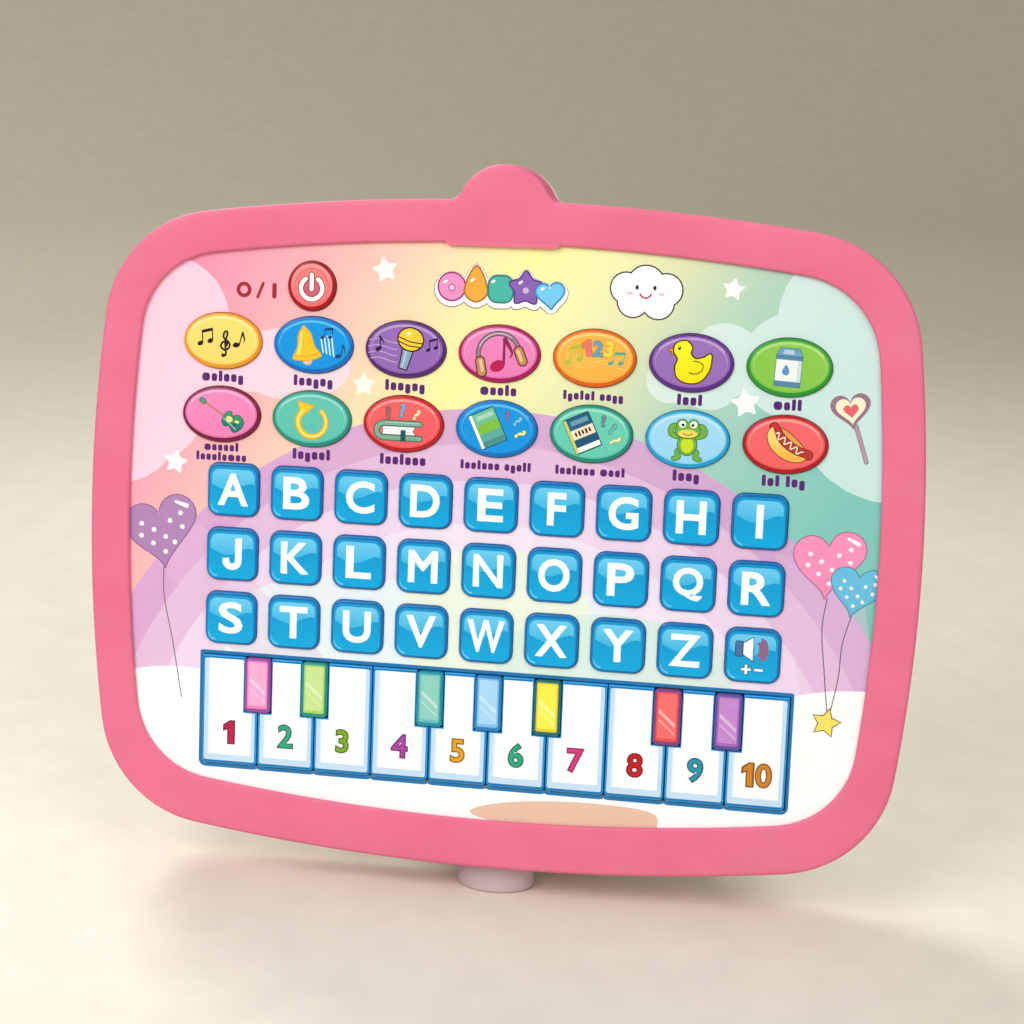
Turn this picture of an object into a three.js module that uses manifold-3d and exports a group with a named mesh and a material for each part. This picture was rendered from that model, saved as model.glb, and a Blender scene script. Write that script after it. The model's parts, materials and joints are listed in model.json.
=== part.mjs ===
// Kids' learning tablet: a pink frame round a keypad of letter, picture and piano keys, closed by a
// white rear shell, leaning back on a short foot and a folding prop.
//
// Millimetres, +Z up. The origin is on the surface that the tablet stands on, under the middle of its
// bounding box. +X runs along the board and +Y points to its back.
//
// Most pieces are drawn in the board's own frame: x along the board, y up the board and z out of its
// face. z = 0 is the front of the key panel and y = 0 is half-way up the frame.

import * as THREE from 'three';
import { mergeVertices } from 'three/addons/utils/BufferGeometryUtils.js';
import Module from 'manifold-3d';

const wasm = await Module();
wasm.setup();

// ---------------------------------------------------------------- driving dimensions

const DEGREE = Math.PI / 180;
const GAP = 0.3; // between pieces that touch or are pressed together
const KEY_GAP = 0.35; // round a key in its opening
const TRAVEL = 0.8; // of every key

const BOARD = { width: 253, height: 202, topBow: 670, sideBow: 500, corner: 36 };
const WINDOW = { width: 228, height: 174.3, topBow: 658, sideBow: 520, corner: 26 };
const WINDOW_Y = 1.2; // the band below the window is wider than the one above
const TAB = { radius: 14.4, y: 97, fillet: 4 };
const TAB_LIP = { width: 35, drop: 1, slant: 1.2 }; // the window's edge steps down below the tab

const FRAME = { front: 1.5, back: -11, round: 1.5, skirt: 2.4, shelf: -5 };
const SHELL = { front: -11.3, back: -22, round: 4, wall: 2.2, inset: 0.3, floor: -20 };
const PANEL = { front: 0, back: -2, overlap: 2.5 };
const CIRCUIT = { front: -6.3, back: -7.8, width: 196, height: 156, y: 1.5 };

const CAP = { top: 1, bottom: -3, chamfer: 0.6 };
const MAT = {
  front: -5, back: -6, boss: CAP.bottom - TRAVEL - GAP,
  width: 204, height: 162, bow: 900, corner: 22,
};
const LETTER = { side: 16.2, corner: 3.4, pitchX: 20, pitchY: 19.9, x: -0.8, y: -9.1 };
const LETTER_ROWS = ['abcdefghi', 'jklmnopqr', 'stuvwxyz+'];
const PICTURE = { width: 24.5, height: 17, pitchX: 28.4, pitchY: 22.3, x: 0.1, y: 44.9 };
const PICTURE_ROWS = [
  ['melody', 'bell', 'singing', 'music', 'digits', 'duck', 'milk'],
  ['guitar', 'repeat', 'question', 'spelling', 'word', 'frog', 'hotdog'],
];
const POWER = { radius: 7.4, x: -57.6, y: 73.6 };

const PIANO = { keys: 10, left: -89.7, pitch: 18.09, top: -40.7, bottom: -75.5 };
const WHITE_KEY = { top: 0.8, bottom: -3, slit: 0.8 };
const WHITE_RAIL = { low: -79, high: -74.9, top: -2.3, bottom: -3.4 };
const COLOURED_KEY = { width: 8.2, length: 17, top: 1.6, bottom: -3.8, neck: 6 };
const COLOURED_RAIL = { low: -40.4, high: -38.6, top: -2.3 };
const COLOURED_AFTER = [1, 2, 4, 5, 6, 8, 9]; // the white keys that a coloured key follows

const LEAN = 10 * DEGREE; // of the board, back from upright
const FOOT = { x: 3, z: -12, width: 24, depth: 15, bottom: -109.4, top: -101.4 };
const PEG = { radius: 3, z: -16.6, top: -96.5 };

const PROP = { y: -20, z: -25.6, open: 32 * DEGREE, width: 99, tipWidth: 84, thick: 3.2 };
const BARREL = { radius: 3.4, bore: 1.8, heel: 3.6 };
const EAR = { inner: 49.9, thick: 4.1, radius: 3.6 };
const PIN = { radius: 1.5, reach: 53.6 };

const BAY = { x: 0, y: 40, length: 51, width: 23, ceiling: -8.9, wall: 0.8 };
const BAY_BLOCK = { left: -29.5, right: 37.5, halfWidth: 15 };
const CELL = { radius: 5.25, length: 43.7, nub: 0.8, nubRadius: 1.9, z: -14.4, pitch: 11.2, x: 0.7 };
const DOOR = { left: -27.6, right: 35, halfWidth: 12.9, inner: -20.3, notch: 7 };
const DOOR_SCREW = { x: 30.6, y: 40, head: 2.7, headDepth: 0.9, shank: 1.3, tip: -13.5, sink: 1 };

const CASE_SCREW = { head: 2.9, headDepth: 2, shank: 1.4, tip: -4, seat: -18, offset: 32.2 };
const SCREW_HOLE = 1.7; // radius of the hole round a screw's shank
const SPEAKER = { x: -72, y: 40, radius: 18, magnet: 11, face: -19.6, back: -10.5 };
const GRILLE = { slots: 6, pitch: 4.4, width: 1.8, length: 24 };
const POSTS = { x: 90, ys: [62, -8, -70], radius: 2.2, top: -8.1 };
const TONGUE = { x: 30, width: 8, thick: 1.8, tip: -6.5, hook: 1.3 };

// ---------------------------------------------------------------- outlines

function arc(centre, radius, from, to, segments, turn = 1) {
  return { centre, radius, from, to, segments, turn };
}

function angleTo(from, to) {
  return Math.atan2(to.y - from.y, to.x - from.x);
}

// The crossing of two circles that lies furthest to the upper right.
function circleCrossing(a, radiusA, b, radiusB) {
  const distance = a.distanceTo(b);
  const along = (radiusA ** 2 - radiusB ** 2 + distance ** 2) / (2 * distance);
  const off = Math.sqrt(radiusA ** 2 - along ** 2);
  const direction = b.clone().sub(a).normalize();
  const normal = new THREE.Vector2(-direction.y, direction.x);
  const foot = a.clone().addScaledVector(direction, along);
  const first = foot.clone().addScaledVector(normal, off);
  const second = foot.clone().addScaledVector(normal, -off);
  return first.x + first.y > second.x + second.y ? first : second;
}

// One quarter of a rectangle with bowed sides and round corners, from the middle of its right side to
// the middle of its top, as arcs that an inset can shrink. A tab adds a half-round bump at the top.
function quarterArcs(shape, tab) {
  const topCentre = new THREE.Vector2(0, shape.height / 2 - shape.topBow);
  const sideCentre = new THREE.Vector2(shape.width / 2 - shape.sideBow, 0);
  const corner = circleCrossing(
    topCentre, shape.topBow - shape.corner, sideCentre, shape.sideBow - shape.corner,
  );
  const cornerStart = angleTo(sideCentre, corner);
  const cornerEnd = angleTo(topCentre, corner);
  const arcs = [
    arc(sideCentre, shape.sideBow, 0, cornerStart, 3),
    arc(corner, shape.corner, cornerStart, cornerEnd, 6),
  ];
  if (!tab) {
    arcs.push(arc(topCentre, shape.topBow, cornerEnd, Math.PI / 2, 3));
    return arcs;
  }
  const tabCentre = new THREE.Vector2(0, tab.y);
  const fillet = circleCrossing(
    topCentre, shape.topBow + tab.fillet, tabCentre, tab.radius + tab.fillet,
  );
  const tabStart = angleTo(tabCentre, fillet);
  arcs.push(arc(topCentre, shape.topBow, cornerEnd, angleTo(topCentre, fillet), 3));
  arcs.push(arc(fillet, tab.fillet, angleTo(fillet, topCentre), tabStart - Math.PI, 2, -1));
  arcs.push(arc(tabCentre, tab.radius, tabStart, Math.PI / 2, 5));
  return arcs;
}

function quarterPoints(shape, inset, tab) {
  const points = [];
  for (const { centre, radius, from, to, segments, turn } of quarterArcs(shape, tab)) {
    for (let i = points.length ? 1 : 0; i <= segments; i += 1) {
      const angle = from + ((to - from) * i) / segments;
      const r = radius - turn * inset;
      points.push(new THREE.Vector2(centre.x + r * Math.cos(angle), centre.y + r * Math.sin(angle)));
    }
  }
  return points;
}

// The whole outline, counter-clockwise, moved up by y.
function bowedOutline(shape, inset = 0, tab = null, y = 0) {
  const upper = quarterPoints(shape, inset, tab);
  const lower = quarterPoints(shape, inset, null);
  const mirror = (points, sx, sy) => points.map((p) => new THREE.Vector2(sx * p.x, sy * p.y));
  const loop = [
    ...upper.slice(0, -1),
    ...mirror(upper, -1, 1).reverse().slice(0, -1),
    ...mirror(lower, -1, -1).slice(0, -1),
    ...mirror(lower, 1, -1).reverse().slice(0, -1),
  ];
  return loop.map((p) => new THREE.Vector2(p.x, p.y + y));
}

function boardOutline(inset) {
  return bowedOutline(BOARD, inset, TAB);
}

function windowOutline(inset) {
  return bowedOutline(WINDOW, inset, null, WINDOW_Y);
}

function rectangle(x0, x1, y0, y1) {
  return [[x0, y0], [x1, y0], [x1, y1], [x0, y1]].map(([x, y]) => new THREE.Vector2(x, y));
}

function ellipse(x, y, radiusX, radiusY, sides) {
  const curve = new THREE.EllipseCurve(x, y, radiusX, radiusY, 0, 2 * Math.PI);
  return curve.getPoints(sides).slice(0, -1);
}

function roundedSquare(x, y, side, radius) {
  const reach = side / 2 - radius;
  const perCorner = 2;
  const points = [];
  for (let quarter = 0; quarter < 4; quarter += 1) {
    const middle = (quarter + 0.5) * (Math.PI / 2);
    const cx = x + Math.sign(Math.cos(middle)) * reach;
    const cy = y + Math.sign(Math.sin(middle)) * reach;
    for (let i = 0; i <= perCorner; i += 1) {
      const angle = (quarter + i / perCorner) * (Math.PI / 2);
      points.push(new THREE.Vector2(cx + radius * Math.cos(angle), cy + radius * Math.sin(angle)));
    }
  }
  return points;
}

// ---------------------------------------------------------------- solids

// Merged vertices turn a geometry into a closed mesh that can be joined and cut.
function toSolid(geometry) {
  const bare = geometry.clone();
  bare.deleteAttribute('normal');
  bare.deleteAttribute('uv');
  const merged = mergeVertices(bare, 1e-4);
  return new wasm.Manifold(new wasm.Mesh({
    numProp: 3,
    vertProperties: merged.attributes.position.array,
    triVerts: merged.index.array,
  }));
}

function toGeometry(solid) {
  const mesh = solid.getMesh();
  const geometry = new THREE.BufferGeometry();
  geometry.setAttribute('position', new THREE.BufferAttribute(mesh.vertProperties, 3));
  geometry.setIndex(new THREE.BufferAttribute(mesh.triVerts, 1));
  geometry.computeVertexNormals();
  return geometry;
}

function combine(base, added, removed = []) {
  const joined = added.reduce((sum, piece) => sum.add(toSolid(piece)), toSolid(base));
  return toGeometry(removed.reduce((rest, cut) => rest.subtract(toSolid(cut)), joined));
}

function slab(points, bottom, top, holes = []) {
  const shape = new THREE.Shape(points);
  shape.holes = holes.map((hole) => new THREE.Path(hole));
  const geometry = new THREE.ExtrudeGeometry(shape, { depth: top - bottom, bevelEnabled: false });
  return geometry.translate(0, 0, bottom);
}

function block(x0, x1, y0, y1, z0, z1) {
  const geometry = new THREE.BoxGeometry(x1 - x0, y1 - y0, z1 - z0);
  return geometry.translate((x0 + x1) / 2, (y0 + y1) / 2, (z0 + z1) / 2);
}

function rod(radius, x, y, z0, z1, sides = 16) {
  const geometry = new THREE.CylinderGeometry(radius, radius, z1 - z0, sides);
  return geometry.rotateX(Math.PI / 2).translate(x, y, (z0 + z1) / 2);
}

function rodAlongX(radius, x0, x1, y, z, sides = 16) {
  const geometry = new THREE.CylinderGeometry(radius, radius, x1 - x0, sides);
  return geometry.rotateZ(Math.PI / 2).translate((x0 + x1) / 2, y, z);
}

function rodAlongY(radius, x, y0, y1, z, sides = 16) {
  const geometry = new THREE.CylinderGeometry(radius, radius, y1 - y0, sides);
  return geometry.translate(x, (y0 + y1) / 2, z);
}

const FAR = 300; // longer than anything it has to cut through

// A slab whose edge is rounded or chamfered at one face only. The extrusion rounds both faces, so it
// starts too long and the plain end is cut off.
function edgedSlab(points, plain, edged, edge, segments) {
  const sign = Math.sign(edged - plain);
  const length = Math.abs(edged - plain);
  const geometry = new THREE.ExtrudeGeometry(new THREE.Shape(points), {
    depth: length,
    bevelThickness: edge,
    bevelSize: edge,
    bevelOffset: -edge,
    bevelSegments: segments,
  });
  if (sign > 0) {
    geometry.translate(0, 0, edged - edge - length);
    return combine(geometry, [], [block(-FAR, FAR, -FAR, FAR, plain - FAR, plain)]);
  }
  geometry.translate(0, 0, edged + edge);
  return combine(geometry, [], [block(-FAR, FAR, -FAR, FAR, plain, plain + FAR)]);
}

// ---------------------------------------------------------------- materials

function material(color, roughness, metalness = 0) {
  return new THREE.MeshStandardMaterial({ color, roughness, metalness });
}

const PINK = 0xee7591;
const WHITE = 0xf2efec;
const BLUE = 0x12a3e6;
const STEEL = 0xb9bcc0;
const PICTURE_COLOURS = {
  melody: 0xf9d05c, bell: 0x2fa5e3, singing: 0x6a52a8, music: 0xe8609c, digits: 0xf5a05a,
  duck: 0x7157b5, milk: 0x6cc24a, guitar: 0xe67aa6, repeat: 0x4fb9a8, question: 0xe2504f,
  spelling: 0x2fa5e3, word: 0x4fb9a8, frog: 0xa8dcf2, hotdog: 0xe2504f,
};

function piece(name, geometry, color, roughness, metalness) {
  const mesh = new THREE.Mesh(geometry, material(color, roughness, metalness));
  mesh.name = name;
  return mesh;
}

// ---------------------------------------------------------------- key layout

function letterPlaces() {
  return LETTER_ROWS.flatMap((row, line) => [...row].map((letter, column) => ({
    name: letter === '+' ? 'key_volume' : `key_${letter}`,
    x: LETTER.x + (column - (row.length - 1) / 2) * LETTER.pitchX,
    y: LETTER.y + (1 - line) * LETTER.pitchY,
  })));
}

function picturePlaces() {
  return PICTURE_ROWS.flatMap((row, line) => row.map((subject, column) => ({
    subject,
    x: PICTURE.x + (column - (row.length - 1) / 2) * PICTURE.pitchX,
    y: PICTURE.y + (0.5 - line) * PICTURE.pitchY,
  })));
}

function letterOutline(place, grow = 0) {
  return roundedSquare(place.x, place.y, LETTER.side + 2 * grow, LETTER.corner + grow);
}

function pictureOutline(place, grow = 0) {
  return ellipse(place.x, place.y, PICTURE.width / 2 + grow, PICTURE.height / 2 + grow, 20);
}

function powerOutline(grow = 0) {
  return ellipse(POWER.x, POWER.y, POWER.radius + grow, POWER.radius + grow, 16);
}

function whiteKeyLeft(index) {
  return PIANO.left + index * PIANO.pitch;
}

const PIANO_RIGHT = whiteKeyLeft(PIANO.keys);

// ---------------------------------------------------------------- frame and panel

function caseScrewPlaces() {
  const corner = quarterArcs(WINDOW, null)[1].centre;
  const reach = CASE_SCREW.offset * Math.SQRT1_2;
  const x = corner.x + reach;
  const y = corner.y + reach + WINDOW_Y;
  return [{ side: 'left', x: -x, y }, { side: 'right', x, y }];
}

// The height of the frame's lower edge at x.
function lowerEdge(x) {
  return BOARD.topBow - BOARD.height / 2 - Math.sqrt(BOARD.topBow ** 2 - x ** 2);
}

function tabLip() {
  const top = WINDOW_Y + WINDOW.height / 2;
  const half = TAB_LIP.width / 2;
  const low = top - TAB_LIP.drop;
  const points = [
    [-half, top + TAB_LIP.drop], [-half + TAB_LIP.slant, low],
    [half - TAB_LIP.slant, low], [half, top + TAB_LIP.drop],
  ].map(([x, y]) => new THREE.Vector2(x, y));
  return slab(points, PANEL.front + GAP, FRAME.front);
}

function frontFrame() {
  const body = edgedSlab(boardOutline(0), FRAME.back, FRAME.front, FRAME.round, 4);
  const window = slab(windowOutline(0), FRAME.back - 1, FRAME.front + 1);
  const pocket = slab(windowOutline(-PANEL.overlap - GAP), FRAME.back - 1, PANEL.front + GAP);
  const hollow = slab(boardOutline(FRAME.skirt), FRAME.back - 1, FRAME.shelf);
  const hulled = combine(body, [], [window, pocket, hollow]);
  const bosses = caseScrewPlaces().map(({ x, y }) => rod(3.4, x, y, FRAME.back, FRAME.shelf + 1));
  const screwHoles = caseScrewPlaces().map(
    ({ x, y }) => rod(SCREW_HOLE, x, y, FRAME.back - 1, CASE_SCREW.tip + 1, 12),
  );
  const hookPockets = [-TONGUE.x, TONGUE.x].map((x) => {
    const wall = lowerEdge(x) + FRAME.skirt;
    const half = TONGUE.width / 2 + GAP;
    return block(x - half, x + half, wall - TONGUE.hook, wall + 1, TONGUE.tip - 2.8, TONGUE.tip + GAP);
  });
  return combine(hulled, [tabLip(), ...bosses], [...screwHoles, ...hookPockets]);
}

function keyPanel() {
  const holes = [
    ...letterPlaces().map((place) => letterOutline(place, KEY_GAP)),
    ...picturePlaces().map((place) => pictureOutline(place, KEY_GAP)),
    powerOutline(KEY_GAP),
    rectangle(PIANO.left, PIANO_RIGHT, PIANO.bottom, PIANO.top),
  ];
  return slab(windowOutline(-PANEL.overlap), PANEL.back, PANEL.front, holes);
}

// ---------------------------------------------------------------- keys

function keyCap(outline) {
  return edgedSlab(outline, CAP.bottom, CAP.top, CAP.chamfer, 1);
}

// A white key with a notch for each coloured key beside it.
function whiteKey(index) {
  const half = WHITE_KEY.slit / 2;
  const left = whiteKeyLeft(index) + (index === 0 ? KEY_GAP : half);
  const right = whiteKeyLeft(index + 1) - (index === PIANO.keys - 1 ? KEY_GAP : half);
  const top = PIANO.top - KEY_GAP;
  const bottom = PIANO.bottom + KEY_GAP;
  const notchDepth = COLOURED_KEY.width / 2 + KEY_GAP - half;
  const notchBottom = top - COLOURED_KEY.length - KEY_GAP;
  const points = [[left, bottom], [right, bottom]];
  if (COLOURED_AFTER.includes(index + 1)) {
    points.push([right, notchBottom], [right - notchDepth, notchBottom], [right - notchDepth, top]);
  } else {
    points.push([right, top]);
  }
  if (COLOURED_AFTER.includes(index)) {
    points.push([left + notchDepth, top], [left + notchDepth, notchBottom], [left, notchBottom]);
  } else {
    points.push([left, top]);
  }
  return slab(points.map(([x, y]) => new THREE.Vector2(x, y)), WHITE_KEY.bottom, WHITE_KEY.top);
}

function whiteComb() {
  const rail = block(
    PIANO.left + KEY_GAP, PIANO_RIGHT - KEY_GAP,
    WHITE_RAIL.low, WHITE_RAIL.high, WHITE_RAIL.bottom, WHITE_RAIL.top,
  );
  const keys = Array.from({ length: PIANO.keys }, (_, index) => whiteKey(index));
  return combine(rail, keys);
}

function colouredComb() {
  const centres = COLOURED_AFTER.map(whiteKeyLeft);
  const half = COLOURED_KEY.width / 2;
  const top = PIANO.top - KEY_GAP;
  const rail = block(
    centres[0] - half, centres.at(-1) + half,
    COLOURED_RAIL.low, COLOURED_RAIL.high, COLOURED_KEY.bottom, COLOURED_RAIL.top,
  );
  const keys = centres.map((x) => edgedSlab(
    rectangle(x - half, x + half, top - COLOURED_KEY.length, top),
    COLOURED_KEY.bottom, COLOURED_KEY.top, CAP.chamfer, 1,
  ));
  const necks = centres.map((x) => block(
    x - COLOURED_KEY.neck / 2, x + COLOURED_KEY.neck / 2,
    top - 1, COLOURED_RAIL.high, COLOURED_KEY.bottom, COLOURED_RAIL.top,
  ));
  return combine(rail, [...keys, ...necks]);
}

// ---------------------------------------------------------------- inside

function keypadMat() {
  const shape = { ...MAT, topBow: MAT.bow, sideBow: MAT.bow };
  const sheet = slab(bowedOutline(shape, 0, null, CIRCUIT.y), MAT.back, MAT.front);
  const whiteMiddles = Array.from({ length: PIANO.keys }, (_, index) => ({
    x: whiteKeyLeft(index + 0.5),
    y: PIANO.bottom + 8,
  }));
  const places = [...letterPlaces(), ...picturePlaces(), POWER, ...whiteMiddles];
  const root = (MAT.front + MAT.back) / 2;
  const bosses = places.map(({ x, y }) => {
    const cone = new THREE.CylinderGeometry(4, 4.8, MAT.boss - root, 6);
    return cone.rotateX(Math.PI / 2).translate(x, y, (MAT.boss + root) / 2);
  });
  return combine(sheet, bosses);
}

// The board with its potted chip, a few parts and the two battery terminals that hang into the bay.
function circuitBoard() {
  const halfWidth = CIRCUIT.width / 2;
  const halfHeight = CIRCUIT.height / 2;
  const cut = 12;
  const points = [
    [halfWidth - cut, -halfHeight], [halfWidth, cut - halfHeight],
    [halfWidth, halfHeight - cut], [halfWidth - cut, halfHeight],
    [cut - halfWidth, halfHeight], [-halfWidth, halfHeight - cut],
    [-halfWidth, cut - halfHeight], [cut - halfWidth, -halfHeight],
  ].map(([x, y]) => new THREE.Vector2(x, y + CIRCUIT.y));
  const root = (CIRCUIT.front + CIRCUIT.back) / 2;
  const chip = new THREE.CylinderGeometry(7, 4.5, 2.4, 16);
  chip.rotateX(Math.PI / 2).translate(60, 6, CIRCUIT.back - 0.8);
  const capacitor = rod(2.5, 48, -14, CIRCUIT.back - 7, root, 12);
  const crystal = block(66, 74, -9, -6, CIRCUIT.back - 3, root);
  const amplifier = block(46, 51, 18, 24, CIRCUIT.back - 1.6, root);
  const right = BAY.x + BAY.length / 2;
  const terminals = [-1, 1].map((side) => {
    const y = BAY.y + (side * CELL.pitch) / 2;
    return block(right - 1, right - 0.4, y - 3.5, y + 3.5, CELL.z - 3.5, root);
  });
  return combine(slab(points, CIRCUIT.back, CIRCUIT.front), [
    chip, capacitor, crystal, amplifier, ...terminals,
  ]);
}

function speakerUnit() {
  const { radius, magnet, face, back } = SPEAKER;
  const profile = [
    [0, face + 1], [5, face + 1.2], [radius - 3, face + 0.2], [radius - 2, face], [radius, face],
    [radius, face + 1.4], [radius - 2, face + 1.6], [magnet + 1, back - 3.4], [magnet, back - 3],
    [magnet, back], [0, back],
  ].map(([r, z]) => new THREE.Vector2(r, z));
  const geometry = new THREE.LatheGeometry(profile, 24);
  return geometry.rotateX(Math.PI / 2).translate(SPEAKER.x, SPEAKER.y, 0);
}

// An AAA cell along x, with its positive end towards +x or -x.
function batteryCell(y, direction) {
  const { radius, length, nub, nubRadius } = CELL;
  const profile = [
    [0, 0], [radius - 0.5, 0], [radius, 0.5], [radius, length - 0.5], [radius - 0.5, length],
    [nubRadius, length], [nubRadius, length + nub], [0, length + nub],
  ].map(([r, s]) => new THREE.Vector2(r, s - (length + nub) / 2));
  const geometry = new THREE.LatheGeometry(profile, 20);
  geometry.rotateZ((-direction * Math.PI) / 2);
  return geometry.translate(CELL.x, y, CELL.z);
}

// The strip that joins the two cells at the left end of the bay: a flat spot and a cone spring.
function bridgeContact() {
  const wall = BAY.x - BAY.length / 2 + GAP;
  const high = BAY.y + CELL.pitch / 2;
  const low = BAY.y - CELL.pitch / 2;
  const cellEnd = CELL.x - (CELL.length + CELL.nub) / 2;
  const strip = block(wall, wall + 0.6, low - 4, high + 4, CELL.z - 4, CELL.z + 4);
  const spring = new THREE.CylinderGeometry(3.6, 2.2, cellEnd - GAP - wall - 0.3, 12);
  spring.rotateZ(Math.PI / 2).translate((wall + 0.3 + cellEnd - GAP) / 2, low, CELL.z);
  const flat = rodAlongX(2.4, wall + 0.3, cellEnd - GAP, high, CELL.z, 12);
  return combine(strip, [spring, flat]);
}

// ---------------------------------------------------------------- rear shell and what it carries

function rearShell() {
  const { front, back, floor, inset, wall } = SHELL;
  const body = edgedSlab(boardOutline(inset), front, back, SHELL.round, 3);
  const hollow = slab(boardOutline(inset + wall), floor, front + 1);
  const tray = combine(body, [], [hollow]);
  const root = floor - 0.5;

  const bayWidth = BAY_BLOCK.halfWidth;
  const bayTop = BAY.ceiling + BAY.wall;
  const bayBlock = block(
    BAY_BLOCK.left, BAY_BLOCK.right, BAY.y - bayWidth, BAY.y + bayWidth, root, bayTop,
  );
  const speakerRing = slab(
    ellipse(SPEAKER.x, SPEAKER.y, SPEAKER.radius + 1.6, SPEAKER.radius + 1.6, 24),
    root, SPEAKER.face + 3,
    [ellipse(SPEAKER.x, SPEAKER.y, SPEAKER.radius + 0.4, SPEAKER.radius + 0.4, 24)],
  );
  const posts = POSTS.ys.flatMap(
    (y) => [-POSTS.x, POSTS.x].map((x) => rod(POSTS.radius, x, y, root, POSTS.top, 8)),
  );
  const pillars = caseScrewPlaces().map(({ x, y }) => rod(4.4, x, y, root, front));
  const ears = [-1, 1].map((side) => {
    const inner = side * EAR.inner;
    const outer = side * (EAR.inner + EAR.thick);
    const [x0, x1] = inner < outer ? [inner, outer] : [outer, inner];
    const nose = rodAlongX(EAR.radius, x0, x1, PROP.y, PROP.z);
    const low = PROP.y - EAR.radius;
    const high = PROP.y + EAR.radius;
    return toGeometry(toSolid(nose).add(toSolid(block(x0, x1, low, high, PROP.z, back + 0.5))));
  });
  const tongues = [-TONGUE.x, TONGUE.x].flatMap((x) => {
    const half = TONGUE.width / 2;
    const skirt = lowerEdge(x) + FRAME.skirt;
    const face = skirt + 0.5;
    return [
      block(x - half, x + half, face, face + TONGUE.thick, root, TONGUE.tip),
      block(x - half, x + half, skirt - 1, face + 0.1, root, front),
      block(x - half, x + half, skirt - TONGUE.hook + 0.4, face + 0.1, TONGUE.tip - 2.2, TONGUE.tip),
    ];
  });

  const bayHollow = block(
    BAY.x - BAY.length / 2, BAY.x + BAY.length / 2,
    BAY.y - BAY.width / 2, BAY.y + BAY.width / 2, back - 1, BAY.ceiling,
  );
  const doorSeat = block(
    DOOR.left - GAP, DOOR.right + GAP,
    BAY.y - DOOR.halfWidth - GAP, BAY.y + DOOR.halfWidth + GAP, back - 1, DOOR.inner + GAP,
  );
  const terminalSlots = [-1, 1].map((side) => {
    const y = BAY.y + (side * CELL.pitch) / 2;
    const right = BAY.x + BAY.length / 2;
    return block(right - 1.4, right, y - 4, y + 4, BAY.ceiling - 1, bayTop + 1);
  });
  const doorScrewHole = rod(SCREW_HOLE, DOOR_SCREW.x, DOOR_SCREW.y, back, DOOR_SCREW.tip + 0.6, 12);
  const slots = Array.from({ length: GRILLE.slots }, (_, index) => {
    const y = SPEAKER.y + (index - (GRILLE.slots - 1) / 2) * GRILLE.pitch;
    const half = GRILLE.length / 2;
    const thin = GRILLE.width / 2;
    return block(SPEAKER.x - half, SPEAKER.x + half, y - thin, y + thin, back - 1, floor + 1);
  });
  const caseScrewHoles = caseScrewPlaces().flatMap(({ x, y }) => [
    rod(CASE_SCREW.head + 0.4, x, y, back - 1, CASE_SCREW.seat, 16),
    rod(SCREW_HOLE, x, y, back, front + 1, 12),
  ]);
  const pinHole = rodAlongX(PIN.radius + GAP, -PIN.reach - GAP, PIN.reach + GAP, PROP.y, PROP.z, 12);
  const pegHole = rodAlongY(PEG.radius + GAP, FOOT.x, FOOT.bottom, PEG.top + 1, PEG.z);
  return combine(
    tray,
    [bayBlock, speakerRing, ...posts, ...pillars, ...ears, ...tongues],
    [
      bayHollow, doorSeat, ...terminalSlots, doorScrewHole, ...slots, ...caseScrewHoles,
      pinHole, pegHole,
    ],
  );
}

function batteryDoor() {
  const { left, right, halfWidth, inner } = DOOR;
  const plate = edgedSlab(
    rectangle(left, right, BAY.y - halfWidth, BAY.y + halfWidth), inner, SHELL.back, 0.4, 1,
  );
  const sunk = SHELL.back + DOOR_SCREW.sink;
  const headSeat = rod(DOOR_SCREW.head + GAP, DOOR_SCREW.x, DOOR_SCREW.y, SHELL.back - 1, sunk, 16);
  const shankHole = rod(SCREW_HOLE, DOOR_SCREW.x, DOOR_SCREW.y, SHELL.back - 1, inner + 1, 12);
  const notch = new THREE.CylinderGeometry(DOOR.notch, DOOR.notch, 1.6, 20);
  notch.rotateX(Math.PI / 2).translate(left - 2, BAY.y, SHELL.back);
  return combine(plate, [], [headSeat, shankHole, notch]);
}

// A pan-head screw whose head points to the back of the board.
function screw({ head, headDepth, shank, tip }, x, y, seat) {
  const profile = [
    [0, seat - headDepth], [head - 0.4, seat - headDepth], [head, seat - headDepth + 0.5],
    [head, seat], [shank, seat], [shank, tip - 1], [0, tip],
  ].map(([r, z]) => new THREE.Vector2(r, z));
  const geometry = new THREE.LatheGeometry(profile, 16);
  const turned = geometry.rotateX(Math.PI / 2).translate(x, y, 0);
  const slotDepth = seat - headDepth + Math.min(0.8, headDepth / 2);
  const top = seat - headDepth - 1;
  const bar = 0.35;
  const reach = head * 0.6;
  return combine(turned, [], [
    block(x - reach, x + reach, y - bar, y + bar, top, slotDepth),
    block(x - bar, x + bar, y - reach, y + reach, top, slotDepth),
  ]);
}

// ---------------------------------------------------------------- stance

const stance = new THREE.Group();
const board = new THREE.Group();
board.rotation.x = Math.PI / 2 - LEAN;
stance.add(board);

// The middle of the foot's sole is at height 0.
const sole = new THREE.Vector3(0, FOOT.bottom, FOOT.z).applyEuler(board.rotation);
board.position.set(0, -sole.y, -sole.z);

const prop = new THREE.Group();
prop.position.set(0, PROP.y, PROP.z);
prop.rotation.x = PROP.open;
board.add(prop);
stance.updateMatrixWorld(true);

// Everything under the floor, in the frame of the group that a piece belongs to.
function belowFloor(group) {
  const ground = block(-FAR, FAR, -FAR, FAR, -FAR, 0);
  return ground.applyMatrix4(group.matrixWorld.clone().invert());
}

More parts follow.
